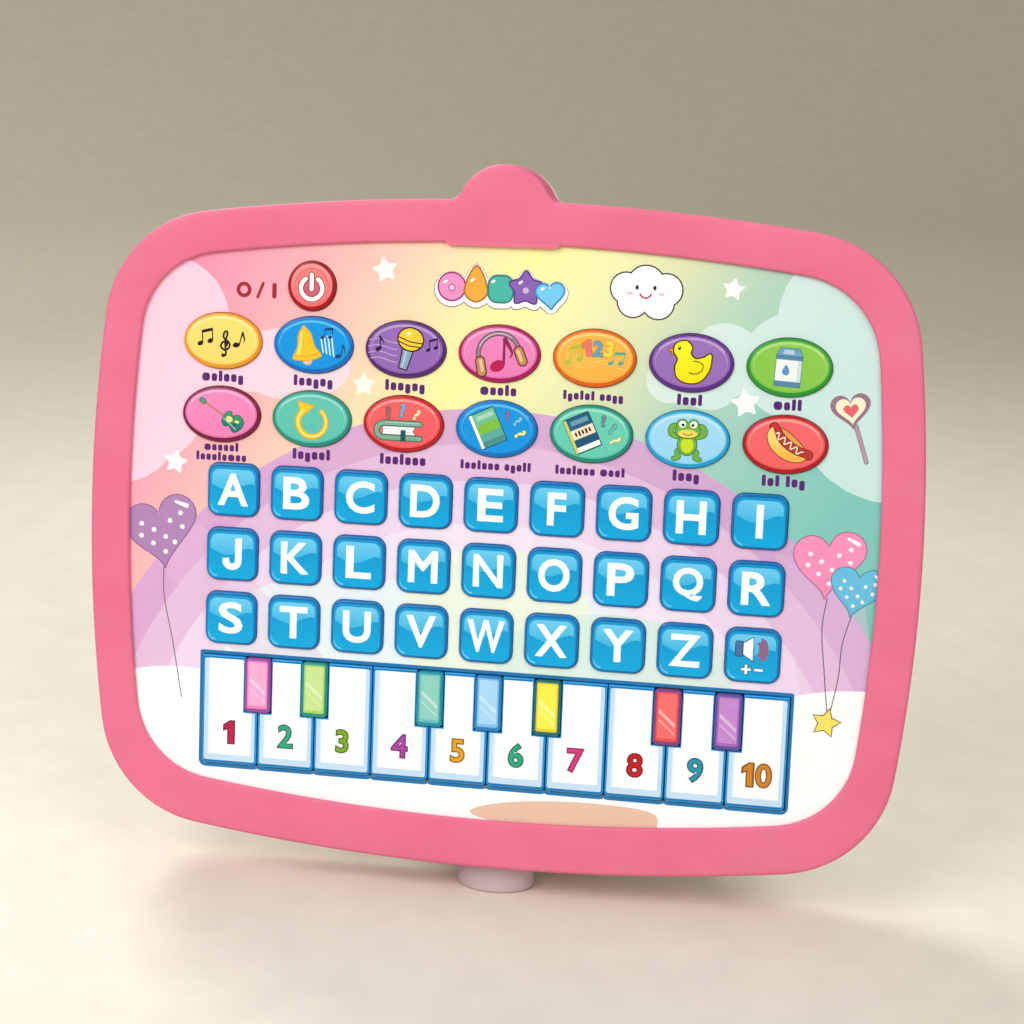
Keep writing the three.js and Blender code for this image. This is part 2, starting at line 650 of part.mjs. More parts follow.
// An oval post on a peg, cut level with the floor.
function footPost() {
  const spare = 6;
  const geometry = new THREE.ExtrudeGeometry(
    new THREE.Shape(ellipse(0, 0, FOOT.width / 2, FOOT.depth / 2, 28)),
    { depth: FOOT.top - FOOT.bottom + spare, bevelEnabled: false },
  );
  geometry.rotateX(Math.PI / 2).translate(FOOT.x, FOOT.top, FOOT.z);
  const peg = rodAlongY(PEG.radius, FOOT.x, FOOT.top - 2, PEG.top, PEG.z);
  return combine(geometry, [peg], [belowFloor(board)]);
}

// A tapering flap on a barrel. Its heel meets the rear shell when the prop is open.
function propFlap() {
  const reach = prop.getWorldPosition(new THREE.Vector3()).z / Math.cos(PROP.open - LEAN) + 4;
  const half = PROP.width / 2;
  const tip = PROP.tipWidth / 2;
  const outline = [[-tip, -reach], [tip, -reach], [half, -10], [half, 0], [-half, 0], [-half, -10]];
  const plate = slab(
    outline.map(([x, y]) => new THREE.Vector2(x, y)), -PROP.thick / 2, PROP.thick / 2,
  );
  const barrel = rodAlongX(BARREL.radius, -half, half, 0, 0);
  const heel = block(-half, half, 0, BARREL.heel, 0, PROP.thick / 2);
  const bore = rodAlongX(BARREL.bore, -half - 1, half + 1, 0, 0, 12);
  return combine(plate, [barrel, heel], [bore, belowFloor(prop)]);
}

// ---------------------------------------------------------------- assembly

board.add(
  piece('front_frame', frontFrame(), PINK, 0.45),
  piece('key_panel', keyPanel(), 0xf6dfc9, 0.35),
  piece('keypad_mat', keypadMat(), 0xd9d6d0, 0.7),
  piece('circuit_board', circuitBoard(), 0x2e7d46, 0.5),
  piece('rear_shell', rearShell(), WHITE, 0.45),
  piece('foot_post', footPost(), WHITE, 0.45),
  piece('speaker', speakerUnit(), 0x2b2b2e, 0.6),
  piece('battery_bridge_contact', bridgeContact(), STEEL, 0.3, 1),
  piece('battery_1', batteryCell(BAY.y + CELL.pitch / 2, -1), 0x3f6f9f, 0.35),
  piece('battery_2', batteryCell(BAY.y - CELL.pitch / 2, 1), 0x3f6f9f, 0.35),
  piece('battery_door', batteryDoor(), WHITE, 0.45),
  piece('white_key_comb', whiteComb(), 0xf8fafc, 0.3),
  piece('coloured_key_comb', colouredComb(), 0xc86fb0, 0.3),
  piece('power_button', keyCap(powerOutline()), 0xe0474c, 0.3),
  piece('kickstand_pin', rodAlongX(PIN.radius, -PIN.reach, PIN.reach, PROP.y, PROP.z, 12), STEEL, 0.3, 1),
);

for (const place of letterPlaces()) {
  board.add(piece(place.name, keyCap(letterOutline(place)), BLUE, 0.3));
}

for (const place of picturePlaces()) {
  const colour = PICTURE_COLOURS[place.subject];
  board.add(piece(`picture_${place.subject}`, keyCap(pictureOutline(place)), colour, 0.3));
}

for (const { side, x, y } of caseScrewPlaces()) {
  board.add(piece(`case_screw_${side}`, screw(CASE_SCREW, x, y, CASE_SCREW.seat), STEEL, 0.3, 1));
}

const doorScrewSeat = SHELL.back + DOOR_SCREW.sink;
const doorScrew = screw(DOOR_SCREW, DOOR_SCREW.x, DOOR_SCREW.y, doorScrewSeat);
board.add(piece('battery_door_screw', doorScrew, STEEL, 0.3, 1));

prop.add(piece('kickstand', propFlap(), WHITE, 0.45));

// The stance moves along Y so that the origin is under the middle of the bounding box.
stance.updateMatrixWorld(true);
const bounds = new THREE.Box3().setFromObject(stance, true);
stance.position.y = -(bounds.min.y + bounds.max.y) / 2;

const tablet = new THREE.Group();
tablet.name = 'kids_toy_tablet';
tablet.add(stance);
tablet.updateMatrixWorld(true);

export default tablet;
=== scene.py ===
"""The looks of the kids' toy tablet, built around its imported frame.

Most pieces are drawn in millimetres in the board's own frame: x along the board, y up the board and z
out of its face, with z = 0 at the front of the key panel. BOARD takes that frame to the row frame.
"""

import json
import math
from functools import partial

import bmesh
import bpy
import numpy as np
from mathutils import Matrix, Vector
from mathutils.geometry import delaunay_2d_cdt


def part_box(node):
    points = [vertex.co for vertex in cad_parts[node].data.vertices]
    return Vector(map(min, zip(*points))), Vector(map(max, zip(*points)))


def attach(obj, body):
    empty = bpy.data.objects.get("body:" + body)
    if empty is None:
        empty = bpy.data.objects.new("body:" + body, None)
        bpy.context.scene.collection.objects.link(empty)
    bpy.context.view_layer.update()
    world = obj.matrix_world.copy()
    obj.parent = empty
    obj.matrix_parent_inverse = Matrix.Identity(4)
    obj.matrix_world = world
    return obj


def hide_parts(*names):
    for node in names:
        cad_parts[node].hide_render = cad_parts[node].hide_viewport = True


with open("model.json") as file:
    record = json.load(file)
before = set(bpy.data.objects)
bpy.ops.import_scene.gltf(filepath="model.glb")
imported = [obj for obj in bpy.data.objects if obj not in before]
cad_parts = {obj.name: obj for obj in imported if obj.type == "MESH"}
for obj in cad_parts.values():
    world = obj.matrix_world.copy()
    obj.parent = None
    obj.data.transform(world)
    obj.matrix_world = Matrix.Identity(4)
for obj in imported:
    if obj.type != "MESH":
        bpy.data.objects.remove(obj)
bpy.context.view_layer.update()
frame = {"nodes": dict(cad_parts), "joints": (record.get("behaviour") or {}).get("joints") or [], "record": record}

MM = 0.001

# ---------------------------------------------------------------- driving dimensions, as in the CAD

BOARD_SHAPE = {"width": 253, "height": 202, "top_bow": 670, "side_bow": 500, "corner": 36}
WINDOW_SHAPE = {"width": 228, "height": 174.3, "top_bow": 658, "side_bow": 520, "corner": 26}
WINDOW_Y = 1.2
TAB = {"radius": 14.4, "y": 97, "fillet": 4}
TAB_LIP = {"width": 35, "drop": 1, "slant": 1.2}
GAP = 0.3
KEY_GAP = 0.35
FRAME_FRONT, FRAME_BACK, FRAME_ROUND, SKIRT, SHELF = 1.5, -11, 1.5, 2.4, -5
SHELL_FRONT, SHELL_BACK, SHELL_ROUND, SHELL_WALL, SHELL_FLOOR = -11.3, -22, 4, 2.2, -20
PANEL_BACK, PANEL_OVERLAP = -2, 2.5
CAP_TOP, CAP_BOTTOM, CAP_EDGE = 1, -3, 0.6
LETTER_SIDE, LETTER_CORNER = 16.2, 3.4
PICTURE_WIDTH, PICTURE_HEIGHT = 24.5, 17
POWER_RADIUS = 7.4
PIANO_KEYS, PIANO_LEFT, PIANO_PITCH, PIANO_TOP, PIANO_BOTTOM = 10, -89.7, 18.09, -40.7, -75.5
WHITE_TOP, WHITE_BOTTOM = 0.8, -3
COLOURED_WIDTH, COLOURED_LENGTH, COLOURED_TOP, COLOURED_BOTTOM, COLOURED_NECK = 8.2, 17, 1.6, -3.8, 6
FOOT_WIDTH, FOOT_DEPTH, FOOT_TOP, FOOT_Z = 24, 15, -101.4, -12
PEG_RADIUS, PEG_Z, PEG_TOP = 3, -16.6, -96.5
PROP_WIDTH, PROP_TIP_WIDTH, PROP_THICK = 99, 84, 3.2
BARREL_RADIUS, BARREL_BORE, BARREL_HEEL = 3.4, 1.8, 3.6
EAR_INNER, EAR_THICK, EAR_RADIUS = 49.9, 4.1, 3.6
BAY_Y, BAY_LENGTH, BAY_WIDTH, BAY_CEILING = 40, 51, 23, -8.9
DOOR_LEFT, DOOR_RIGHT, DOOR_HALF, DOOR_INNER, DOOR_NOTCH = -27.6, 35, 12.9, -20.3, 7
BAY_LEFT, BAY_RIGHT, BAY_HALF, BAY_ROOF = -29.5, 37.5, 15, 0.8
PIN_BORE, PIN_REACH = 1.8, 53.9
GRILLE_SLOTS, GRILLE_PITCH, GRILLE_WIDTH, GRILLE_LENGTH = 6, 4.4, 1.8, 24
SCREW_HOLE, DOOR_SCREW_END = 1.7, -12.9
SCREW_SEAT, SCREW_WELL, SCREW_BOSS, SCREW_POST = -18, 3.3, 4.4, 3.4

# ---------------------------------------------------------------- drawn details, finer than in the CAD

PRINT_GAP, WHITE_SLIT = 0.2, 0.4  # the slit round a key, and between two white keys
RAIL_TOP = -2.3

# ---------------------------------------------------------------- frames

press = next(joint for joint in frame["joints"] if joint["name"] == "key_a_press")
OUT = -Vector(press["axis"]).normalized()
RIGHT = Vector((1, 0, 0))
UP = OUT.cross(RIGHT)
TURN = Matrix((RIGHT, UP, OUT)).transposed()


def middle(node):
    """The middle of a CAD node's box, in the row frame."""
    low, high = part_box(node)
    return (low + high) / 2


ORIGIN = middle("key_panel") - TURN @ Vector((0, WINDOW_Y, PANEL_BACK / 2)) * MM
BOARD = Matrix.Translation(ORIGIN) @ TURN.to_4x4() @ Matrix.Scale(MM, 4)
TO_BOARD = BOARD.inverted()


def place_of(node):
    """The middle of a CAD node in the board's frame, in millimetres."""
    return TO_BOARD @ middle(node)


HINGE = place_of("kickstand_pin")
fold = next(joint for joint in frame["joints"] if joint["name"] == "kickstand_fold")
PROP_OPEN = math.radians(max(fold["range_deg"]))
PROP = BOARD @ Matrix.Translation(HINGE) @ Matrix.Rotation(PROP_OPEN, 4, "X")
BODY_OF = {
    node: body for body, nodes in frame["record"]["behaviour"]["bodies"].items() for node in nodes
}

# ---------------------------------------------------------------- outlines


def arc_points(x, y, radius, start, end, steps):
    """Points along an arc, its two ends included. Angles are in radians."""
    angles = [start + (end - start) * i / steps for i in range(steps + 1)]
    return [(x + radius * math.cos(a), y + radius * math.sin(a)) for a in angles]


def arc(x, y, radius, start, end, steps):
    """As arc_points, with the angles in degrees."""
    return arc_points(x, y, radius, math.radians(start), math.radians(end), steps)


def ellipse(x, y, rx, ry, turn=0, sides=40):
    angles = [2 * math.pi * i / sides for i in range(sides)]
    return placed([(rx * math.cos(a), ry * math.sin(a)) for a in angles], x, y, turn)


def circle(x, y, radius, sides=28):
    return ellipse(x, y, radius, radius, 0, sides)


def placed(points, x=0, y=0, turn=0, scale=1):
    """The points scaled, turned by degrees and moved."""
    c, s = math.cos(math.radians(turn)) * scale, math.sin(math.radians(turn)) * scale
    return [(x + c * px - s * py, y + s * px + c * py) for px, py in points]


def rounded_box(x, y, width, height, radius, turn=0, steps=5):
    points = []
    for number, (sx, sy) in enumerate(((1, 1), (-1, 1), (-1, -1), (1, -1))):
        start = number * math.pi / 2
        cx, cy = sx * (width / 2 - radius), sy * (height / 2 - radius)
        points += arc_points(cx, cy, radius, start, start + math.pi / 2, steps)
    return placed(points, x, y, turn)


def oblong(x0, x1, y0, y1):
    return [(x0, y0), (x1, y0), (x1, y1), (x0, y1)]


def box_outline(x0, x1, y0, y1, radius=0.01):
    return rounded_box((x0 + x1) / 2, (y0 + y1) / 2, x1 - x0, y1 - y0, radius, 0, 4 if radius > 0.1 else 1)


def star(x, y, radius, turn=0, inner=0.52, points=5):
    corners = []
    for i in range(2 * points):
        a = math.pi / 2 + math.pi * i / points
        r = radius * (inner if i % 2 else 1)
        corners.append((r * math.cos(a), r * math.sin(a)))
    return placed(corners, x, y, turn)


def heart(x, y, width, turn=0, lean=0, sides=44):
    """A heart with its middle at x, y. The curve is 32 wide before it is scaled. lean draws its point
    to the left, as a share of its depth."""
    points = []
    for i in range(sides):
        t = -2 * math.pi * i / sides
        across = 16 * math.sin(t) ** 3
        rise = 13 * math.cos(t) - 5 * math.cos(2 * t) - 2 * math.cos(3 * t) - math.cos(4 * t)
        points.append((across + lean * min(0, rise), rise + 2.5))
    return placed(points, x, y, turn, width / 32)


def normals_of(points):
    """The outward unit normal at each corner of a counter-clockwise loop, lengthened at sharp corners."""
    found = []
    for i, here in enumerate(points):
        before, after = Vector(points[i - 1]), Vector(points[(i + 1) % len(points)])
        a = (Vector(here) - before).normalized()
        b = (after - Vector(here)).normalized()
        total = Vector((a.y + b.y, -a.x - b.x))
        found.append(total / max(0.6, total.length_squared / 2))
    return found


def grown(points, distance):
    return [(x + n.x * distance, y + n.y * distance) for (x, y), n in zip(points, normals_of(points))]


def area_of(points):
    """A loop's area, positive where it runs anticlockwise."""
    return sum(a[0] * b[1] - b[0] * a[1] for a, b in zip(points, points[1:] + points[:1])) / 2


def smooth(points, closed=True, steps=5):
    """A Catmull-Rom curve through the points."""
    count = len(points)

    def at(i):
        return Vector(points[i % count if closed else min(max(i, 0), count - 1)])

    made = []
    for i in range(count if closed else count - 1):
        p0, p1, p2, p3 = at(i - 1), at(i), at(i + 1), at(i + 2)
        for k in range(steps):
            t = k / steps
            point = (
                2 * p1 + (p2 - p0) * t + (2 * p0 - 5 * p1 + 4 * p2 - p3) * t ** 2
                + (3 * p1 - p0 - 3 * p2 + p3) * t ** 3
            ) / 2
            made.append(tuple(point))
    return made if closed else made + [tuple(at(count - 1))]


def ribbon(points, width, end_width=None):
    """The loop round a stroke with round ends. Its width can change along it."""
    end_width = width if end_width is None else end_width
    path = [Vector(p) for p in points]
    left, right = [], []
    for i, here in enumerate(path):
        along = (path[min(i + 1, len(path) - 1)] - path[max(i - 1, 0)]).normalized()
        half = (width + (end_width - width) * i / (len(path) - 1)) / 2
        side = Vector((-along.y, along.x)) * half
        left.append(tuple(here + side))
        right.append(tuple(here - side))
    first, last = path[1] - path[0], path[-1] - path[-2]
    tail = math.atan2(first.y, first.x) + math.pi / 2
    nose = math.atan2(last.y, last.x) - math.pi / 2
    end_cap = arc_points(*path[-1], end_width / 2, nose, nose + math.pi, 5)[1:-1]
    start_cap = arc_points(*path[0], width / 2, tail, tail + math.pi, 5)[1:-1]
    return right + end_cap + left[::-1] + start_cap


def crossing(a, radius_a, b, radius_b):
    """The crossing of two circles that lies furthest to the upper right."""
    a, b = Vector(a), Vector(b)
    distance = (b - a).length
    along = (radius_a ** 2 - radius_b ** 2 + distance ** 2) / (2 * distance)
    off = math.sqrt(radius_a ** 2 - along ** 2)
    direction = (b - a) / distance
    normal = Vector((-direction.y, direction.x))
    foot = a + direction * along
    return max((foot + normal * off, foot - normal * off), key=lambda p: p.x + p.y)


def angle_to(a, b):
    return math.atan2(b[1] - a[1], b[0] - a[0])


SIDE_STEPS, CORNER_STEPS, TOP_STEPS, FILLET_STEPS, TAB_STEPS = 8, 14, 10, 5, 9


def quarter(shape, inset, tab):
    """From the right side's middle to the top's middle, with as many points with a tab as without."""
    top = (0, shape["height"] / 2 - shape["top_bow"])
    side = (shape["width"] / 2 - shape["side_bow"], 0)
    corner = crossing(top, shape["top_bow"] - shape["corner"], side, shape["side_bow"] - shape["corner"])
    start, end = angle_to(side, corner), angle_to(top, corner)
    upright = math.pi / 2
    points = arc_points(*side, shape["side_bow"] - inset, 0, start, SIDE_STEPS)
    points += arc_points(*corner, shape["corner"] - inset, start, end, CORNER_STEPS)[1:]
    if not tab:
        steps = TOP_STEPS + FILLET_STEPS + TAB_STEPS
        return points + arc_points(*top, shape["top_bow"] - inset, end, upright, steps)[1:]
    centre = (0, tab["y"])
    fillet = crossing(top, shape["top_bow"] + tab["fillet"], centre, tab["radius"] + tab["fillet"])
    bend = angle_to(centre, fillet)
    foot = angle_to(top, fillet)
    points += arc_points(*top, shape["top_bow"] - inset, end, foot, TOP_STEPS)[1:]
    points += arc_points(
        *fillet, tab["fillet"] + inset, angle_to(fillet, top), bend - math.pi, FILLET_STEPS,
    )[1:]
    return points + arc_points(*centre, tab["radius"] - inset, bend, upright, TAB_STEPS)[1:]


def bowed(shape, inset=0, tab=None, y=0):
    """A rectangle with bowed sides and round corners, counter-clockwise, moved up by y."""
    upper, lower = quarter(shape, inset, tab), quarter(shape, inset, None)
    loop = upper[:-1]
    loop += [(-px, py) for px, py in reversed(upper)][:-1]
    loop += [(-px, -py) for px, py in lower][:-1]
    loop += [(px, -py) for px, py in reversed(lower)][:-1]
    return [(px, py + y) for px, py in loop]


board_loop = partial(bowed, BOARD_SHAPE, tab=TAB)
window_loop = partial(bowed, WINDOW_SHAPE, y=WINDOW_Y)

# ---------------------------------------------------------------- printed sheets


def inside(points, loop):
    """Which of the points, an array of x and y, lie in a loop."""
    low, high = np.min(loop, axis=0), np.max(loop, axis=0)
    near = np.all((points >= low) & (points <= high), axis=1)
    found = np.zeros(len(points), bool)
    x, y = points[near, 0][:, None], points[near, 1][:, None]
    start = np.array(loop)
    end = np.roll(start, -1, axis=0)
    spans = (start[:, 1] > y) != (end[:, 1] > y)
    rise = np.where(end[:, 1] == start[:, 1], 1, end[:, 1] - start[:, 1])
    cross = start[:, 0] + (y - start[:, 1]) * (end[:, 0] - start[:, 0]) / rise
    found[near] = np.sum(spans & (x < cross), axis=1) % 2 == 1
    return found


def linear(channel):
    """One 0 to 255 sRGB channel as linear light."""
    value = channel / 255
    return value / 12.92 if value <= 0.04045 else ((value + 0.055) / 1.055) ** 2.4


def fade(low_colour, high_colour, low_y, high_y):
    """An ink that changes from low_colour at low_y to high_colour at high_y."""
    def colour(x, y):
        t = min(1, max(0, (y - low_y) / (high_y - low_y)))
        return tuple(a + (b - a) * t for a, b in zip(low_colour, high_colour))
    return colour


def mixed(colour, other, share):
    return tuple(a + (b - a) * share for a, b in zip(colour, other))


class Sheet:
    """A flat face cut into regions by what is printed on it. Where no ink covers it, its own colour shows."""

    def __init__(self, outline, holes=()):
        self.outline = outline
        self.holes = list(holes)
        self.layers = []

    def ink(self, colour, *loops, alpha=1, even_odd=False):
        """Prints loops, all as one layer. With even_odd a loop in a loop is a hole."""
        self.layers.append((colour, loops, alpha, even_odd))

    def outlined(self, fill, line, width, *loops):
        self.ink(line, *[grown(loop, width) for loop in loops])
        self.ink(fill, *loops)

    def triangles(self):
        """The corners, the triangles, and the ink of each triangle's corners as linear colour and cover."""
        loops = [self.outline, *self.holes] + [loop for layer in self.layers for loop in layer[1]]
        corners, edges = [], []
        for loop in loops:
            first = len(corners)
            corners += [Vector(p) for p in loop]
            edges += [(first + i, first + (i + 1) % len(loop)) for i in range(len(loop))]
        verts, _, faces, _, _, _ = delaunay_2d_cdt(corners, edges, [], 0, 1e-5, False)
        verts = np.array(verts)
        faces = np.array([f for f in faces if len(f) == 3])
        middles = verts[faces].mean(axis=1)
        kept = inside(middles, self.outline)
        for hole in self.holes:
            kept &= ~inside(middles, hole)
        faces, middles = faces[kept], middles[kept]
        inks = np.zeros((len(faces), 3, 4))
        for colour, printed, alpha, even_odd in self.layers:
            hits = np.sum([inside(middles, loop) for loop in printed], axis=0)
            for f in np.nonzero(hits % 2 == 1 if even_odd else hits > 0)[0]:
                for k, v in enumerate(faces[f]):
                    rgb = colour(*verts[v]) if callable(colour) else colour
                    under = inks[f, k]
                    cover = alpha + under[3] * (1 - alpha)
                    over = np.array([linear(c) for c in rgb]) * alpha
                    inks[f, k, :3] = (over + under[:3] * under[3] * (1 - alpha)) / cover
                    inks[f, k, 3] = cover
        return verts, faces, inks


def rims_of(faces):
    """The border of a set of triangles as loops of corner numbers, with the face on their left."""
    directed = {(int(f[i]), int(f[(i + 1) % 3])) for f in faces for i in range(3)}
    follow = {a: b for a, b in directed if (b, a) not in directed}
    loops = []
    while follow:
        start, here = follow.popitem()
        loop = [start]
        while here != start:
            loop.append(here)
            here = follow.pop(here)
        loops.append(loop)
    return loops


# ---------------------------------------------------------------- meshes


def to_object(name, mesh, material, matrix=BOARD):
    mesh.transform(matrix)
    mesh.materials.append(material)
    mesh.shade_smooth()
    mesh.set_sharp_from_angle(angle=math.radians(35))
    made = bpy.data.objects.new(name, mesh)
    bpy.context.scene.collection.objects.link(made)
    return made


def plain_mesh(bm, name):
    mesh = bpy.data.meshes.new(name)
    bm.to_mesh(mesh)
    bm.free()
    return mesh


def mesh_of(bm, name):
    """The mesh with all its faces turned outwards."""
    bmesh.ops.recalc_face_normals(bm, faces=bm.faces)
    return plain_mesh(bm, name)


def print_solid(bm, sheet, top, profile, side_ink, x=0, y=0):
    """Adds a solid with a printed face at height top. profile lists (outward, z) below its edge."""
    layer = bm.loops.layers.float_color.get("ink") or bm.loops.layers.float_color.new("ink")
    verts, faces, inks = sheet.triangles()
    side = (*[linear(c) for c in side_ink], 1)
    corners = {int(i): bm.verts.new((verts[i][0] + x, verts[i][1] + y, top)) for i in np.unique(faces)}
    for face, ink in zip(faces, inks):
        made = bm.faces.new([corners[int(i)] for i in face])
        for loop, colour in zip(made.loops, ink):
            loop[layer] = colour

    def paint(face):
        for loop in face.loops:
            loop[layer] = side

    rims = rims_of(faces)
    low = profile[-1][1]
    last = {}
    for rim in rims:
        path = [tuple(verts[i]) for i in rim]
        normals = normals_of(path)
        ring = [corners[i] for i in rim]
        for out, z in profile:
            lower = [
                bm.verts.new((px + n.x * out + x, py + n.y * out + y, z))
                for (px, py), n in zip(path, normals)
            ]
            for i in range(len(rim)):
                j = (i + 1) % len(rim)
                paint(bm.faces.new((ring[j], ring[i], lower[i], lower[j])))
            ring = lower
        last.update(zip(rim, ring))
    if len(rims) == 1:
        paint(bm.faces.new(ring[::-1]))
        return
    for i in np.unique(faces):
        if int(i) not in last:
            last[int(i)] = bm.verts.new((verts[i][0] + x, verts[i][1] + y, low))
    for face in faces:
        paint(bm.faces.new([last[int(i)] for i in face[::-1]]))


def printed_piece(name, sheet, top, profile, side_ink, material, x=0, y=0):
    bm = bmesh.new()
    print_solid(bm, sheet, top, profile, side_ink, x, y)
    return to_object(name, plain_mesh(bm, name), material)


def add_rings(bm, rings, ends=True):
    """Skins rings of equal length, given as 3-D points, and fills the first and the last."""
    rows = [[bm.verts.new(p) for p in ring] for ring in rings]
    for a, b in zip(rows, rows[1:]):
        for i in range(len(a)):
            j = (i + 1) % len(a)
            bm.faces.new((a[i], a[j], b[j], b[i]))
    if ends:
        bm.faces.new(rows[0][::-1])
        bm.faces.new(rows[-1])


def flat_between(bm, outer, inner, z):
    """A flat face between two loops."""
    corners, faces, _ = Sheet(outer, [inner]).triangles()
    made = [bm.verts.new((x, y, z)) for x, y in corners]
    for face in faces:
        bm.faces.new([made[i] for i in face])


def at_height(loop, z):
    return [(x, y, z) for x, y in loop]


def prism(bm, loop, z0, z1):
    add_rings(bm, [at_height(loop, z0), at_height(loop, z1)])


def rod(bm, radius, x, y, z0, z1, sides=32):
    prism(bm, circle(x, y, radius, sides), z0, z1)


def drawn_along_x(bm, profile, x0, x1):
    add_rings(bm, [[(x, a, b) for a, b in profile] for x in (x0, x1)])


def rod_along_x(bm, radius, x0, x1, y, z):
    drawn_along_x(bm, circle(y, z, radius, 32), x0, x1)


def block(bm, x0, x1, y0, y1, z0, z1, radius=0.01):
    prism(bm, box_outline(x0, x1, y0, y1, radius), z0, z1)


def rounding(radius, z_flat, z_side, steps=6):
    """(inset, z) from the side at z_side round to the flat at z_flat."""
    sign = math.copysign(1, z_flat - z_side)
    turns = [math.pi / 2 * i / steps for i in range(steps + 1)]
    return [(radius * (1 - math.cos(a)), z_flat - sign * radius * (1 - math.sin(a))) for a in turns]


def solid(draw, *args):
    """A mesh of what draw(bm, ...) adds, as a plain object to cut or join with."""
    bm = bmesh.new()
    draw(bm, *args)
    made = bpy.data.objects.new("tool", mesh_of(bm, "tool"))
    bpy.context.scene.collection.objects.link(made)
    return made


def combined(base, added=(), removed=()):
    """base joined with some solids and cut by others, as a new mesh. All of them are used up."""
    tools = [(tool, "UNION") for tool in added] + [(tool, "DIFFERENCE") for tool in removed]
    for tool, operation in tools:
        modifier = base.modifiers.new(operation, "BOOLEAN")
        modifier.operation = operation
        modifier.object = tool
        modifier.solver = "EXACT"
    depsgraph = bpy.context.evaluated_depsgraph_get()
    mesh = bpy.data.meshes.new_from_object(base.evaluated_get(depsgraph))
    for used in [base, *[tool for tool, _ in tools]]:
        bpy.data.objects.remove(used)
    return mesh


# ---------------------------------------------------------------- materials


class Nodes:
    """A material's node tree, with short calls to add nodes and links."""

    def __init__(self, name):
        self.material = bpy.data.materials.new(name)
        self.material.use_nodes = True
        self.tree = self.material.node_tree
        self.shader = self.tree.nodes["Principled BSDF"]

    def add(self, kind, **values):
        node = self.tree.nodes.new(kind)
        for key, value in values.items():
            setattr(node, key, value)
        return node

    def link(self, source, target):
        self.tree.links.new(source, target)

    def place(self):
        """The point on the piece, in millimetres in the row frame."""
        coordinates = self.add("ShaderNodeTexCoord")
        scaled = self.add("ShaderNodeVectorMath", operation="SCALE")
        scaled.inputs["Scale"].default_value = 1 / MM
        self.link(coordinates.outputs["Object"], scaled.inputs[0])
        return scaled.outputs[0]

    def noise(self, scale, detail=3, stretch=(1, 1, 1)):
        stretched = self.add("ShaderNodeVectorMath", operation="MULTIPLY")
        stretched.inputs[1].default_value = stretch
        self.link(self.place(), stretched.inputs[0])
        made = self.add("ShaderNodeTexNoise")
        made.inputs["Scale"].default_value = scale
        made.inputs["Detail"].default_value = detail
        self.link(stretched.outputs[0], made.inputs["Vector"])
        return made.outputs["Fac"]

    def share(self, value, start, end, low=0, high=1, **settings):
        """The value's way from start to end, as low to high."""
        made = self.add("ShaderNodeMapRange", **settings)
        ends = {"From Min": start, "From Max": end, "To Min": low, "To Max": high}
        for name, number in ends.items():
            made.inputs[name].default_value = number
        self.link(value, made.inputs["Value"])
        return made.outputs["Result"]

    def ranged(self, value, low, high):
        """A noise, which stays mostly between 0.3 and 0.7, as low to high."""
        return self.share(value, 0.3, 0.7, low, high)

    def coordinates(self):
        """The outputs X, Y and Z of the point on the piece."""
        parts = self.add("ShaderNodeSeparateXYZ")
        self.link(self.place(), parts.inputs[0])
        return parts.outputs

    def mix(self, factor, first, second, blend="MIX"):
        """Mixes two colours, each a socket or three numbers."""
        made = self.add("ShaderNodeMix", data_type="RGBA", blend_type=blend)
        for source, target in ((factor, made.inputs[0]), (first, made.inputs[6]), (second, made.inputs[7])):
            if isinstance(source, bpy.types.NodeSocket):
                self.link(source, target)
            elif isinstance(source, (int, float)):
                target.default_value = source
            else:
                target.default_value = (*source, 1)
        return made.outputs[2]

    def finish(self, colour, roughness, wave, grain, speck=0.03):
        """Joins colour to the shader with a slight unevenness, roughness from low to high, a broad wave in
        the surface and a fine grain, both in millimetres. A grain of 0 leaves the surface smooth."""
        shade = self.ranged(self.noise(0.06), 1 - speck, 1 + speck)
        grey = self.add("ShaderNodeCombineColor")
        for channel in ("Red", "Green", "Blue"):
            self.link(shade, grey.inputs[channel])
        self.link(self.mix(1.0, colour, grey.outputs[0], "MULTIPLY"), self.shader.inputs["Base Color"])
        gloss = self.ranged(self.noise(0.25, 5 if grain else 1), *roughness)
        self.link(gloss, self.shader.inputs["Roughness"])
        surface = self.bump(self.noise(0.09, 2 if grain else 0), wave, None)
        if grain:
            surface = self.bump(self.noise(2.5, 4), grain, surface)
        self.link(surface, self.shader.inputs["Normal"])
        return self.material

    def bump(self, height, distance, below):
        made = self.add("ShaderNodeBump")
        made.inputs["Distance"].default_value = distance * MM
        self.link(height, made.inputs["Height"])
        if below is not None:
            self.link(below, made.inputs["Normal"])
        return made.outputs["Normal"]


def rgb(red, green, blue):
    return tuple(linear(c) for c in (red, green, blue))


def moulded(name, colour, roughness=(0.36, 0.5), wave=0.05, grain=0.012, speck=0.03):
    """Moulded plastic: slight flow in the colour, a broad unevenness and a fine spark-eroded grain."""
    nodes = Nodes(name)
    flow = nodes.ranged(nodes.noise(0.02, 2, (1, 1, 2.5)), 0, 1)
    tinted = nodes.mix(flow, rgb(*colour), rgb(*mixed(colour, (255, 255, 255), 0.06)))
    return nodes.finish(tinted, roughness, wave, grain, speck)


RAINBOW = [  # the pastel print, from the left edge to the right, by place along the slanted gradient
    (-100, (243, 138, 172)), (-71, (247, 165, 184)), (-46, (252, 190, 184)), (-28, (253, 210, 186)),
    (-12, (255, 230, 178)), (6, (255, 246, 166)), (30, (241, 241, 180)), (52, (220, 227, 184)),
    (72, (186, 215, 192)), (100, (154, 205, 192)), (140, (124, 197, 188)),
]
RAINBOW_SLANT = 0.6
RAINBOW_LEVEL = 80


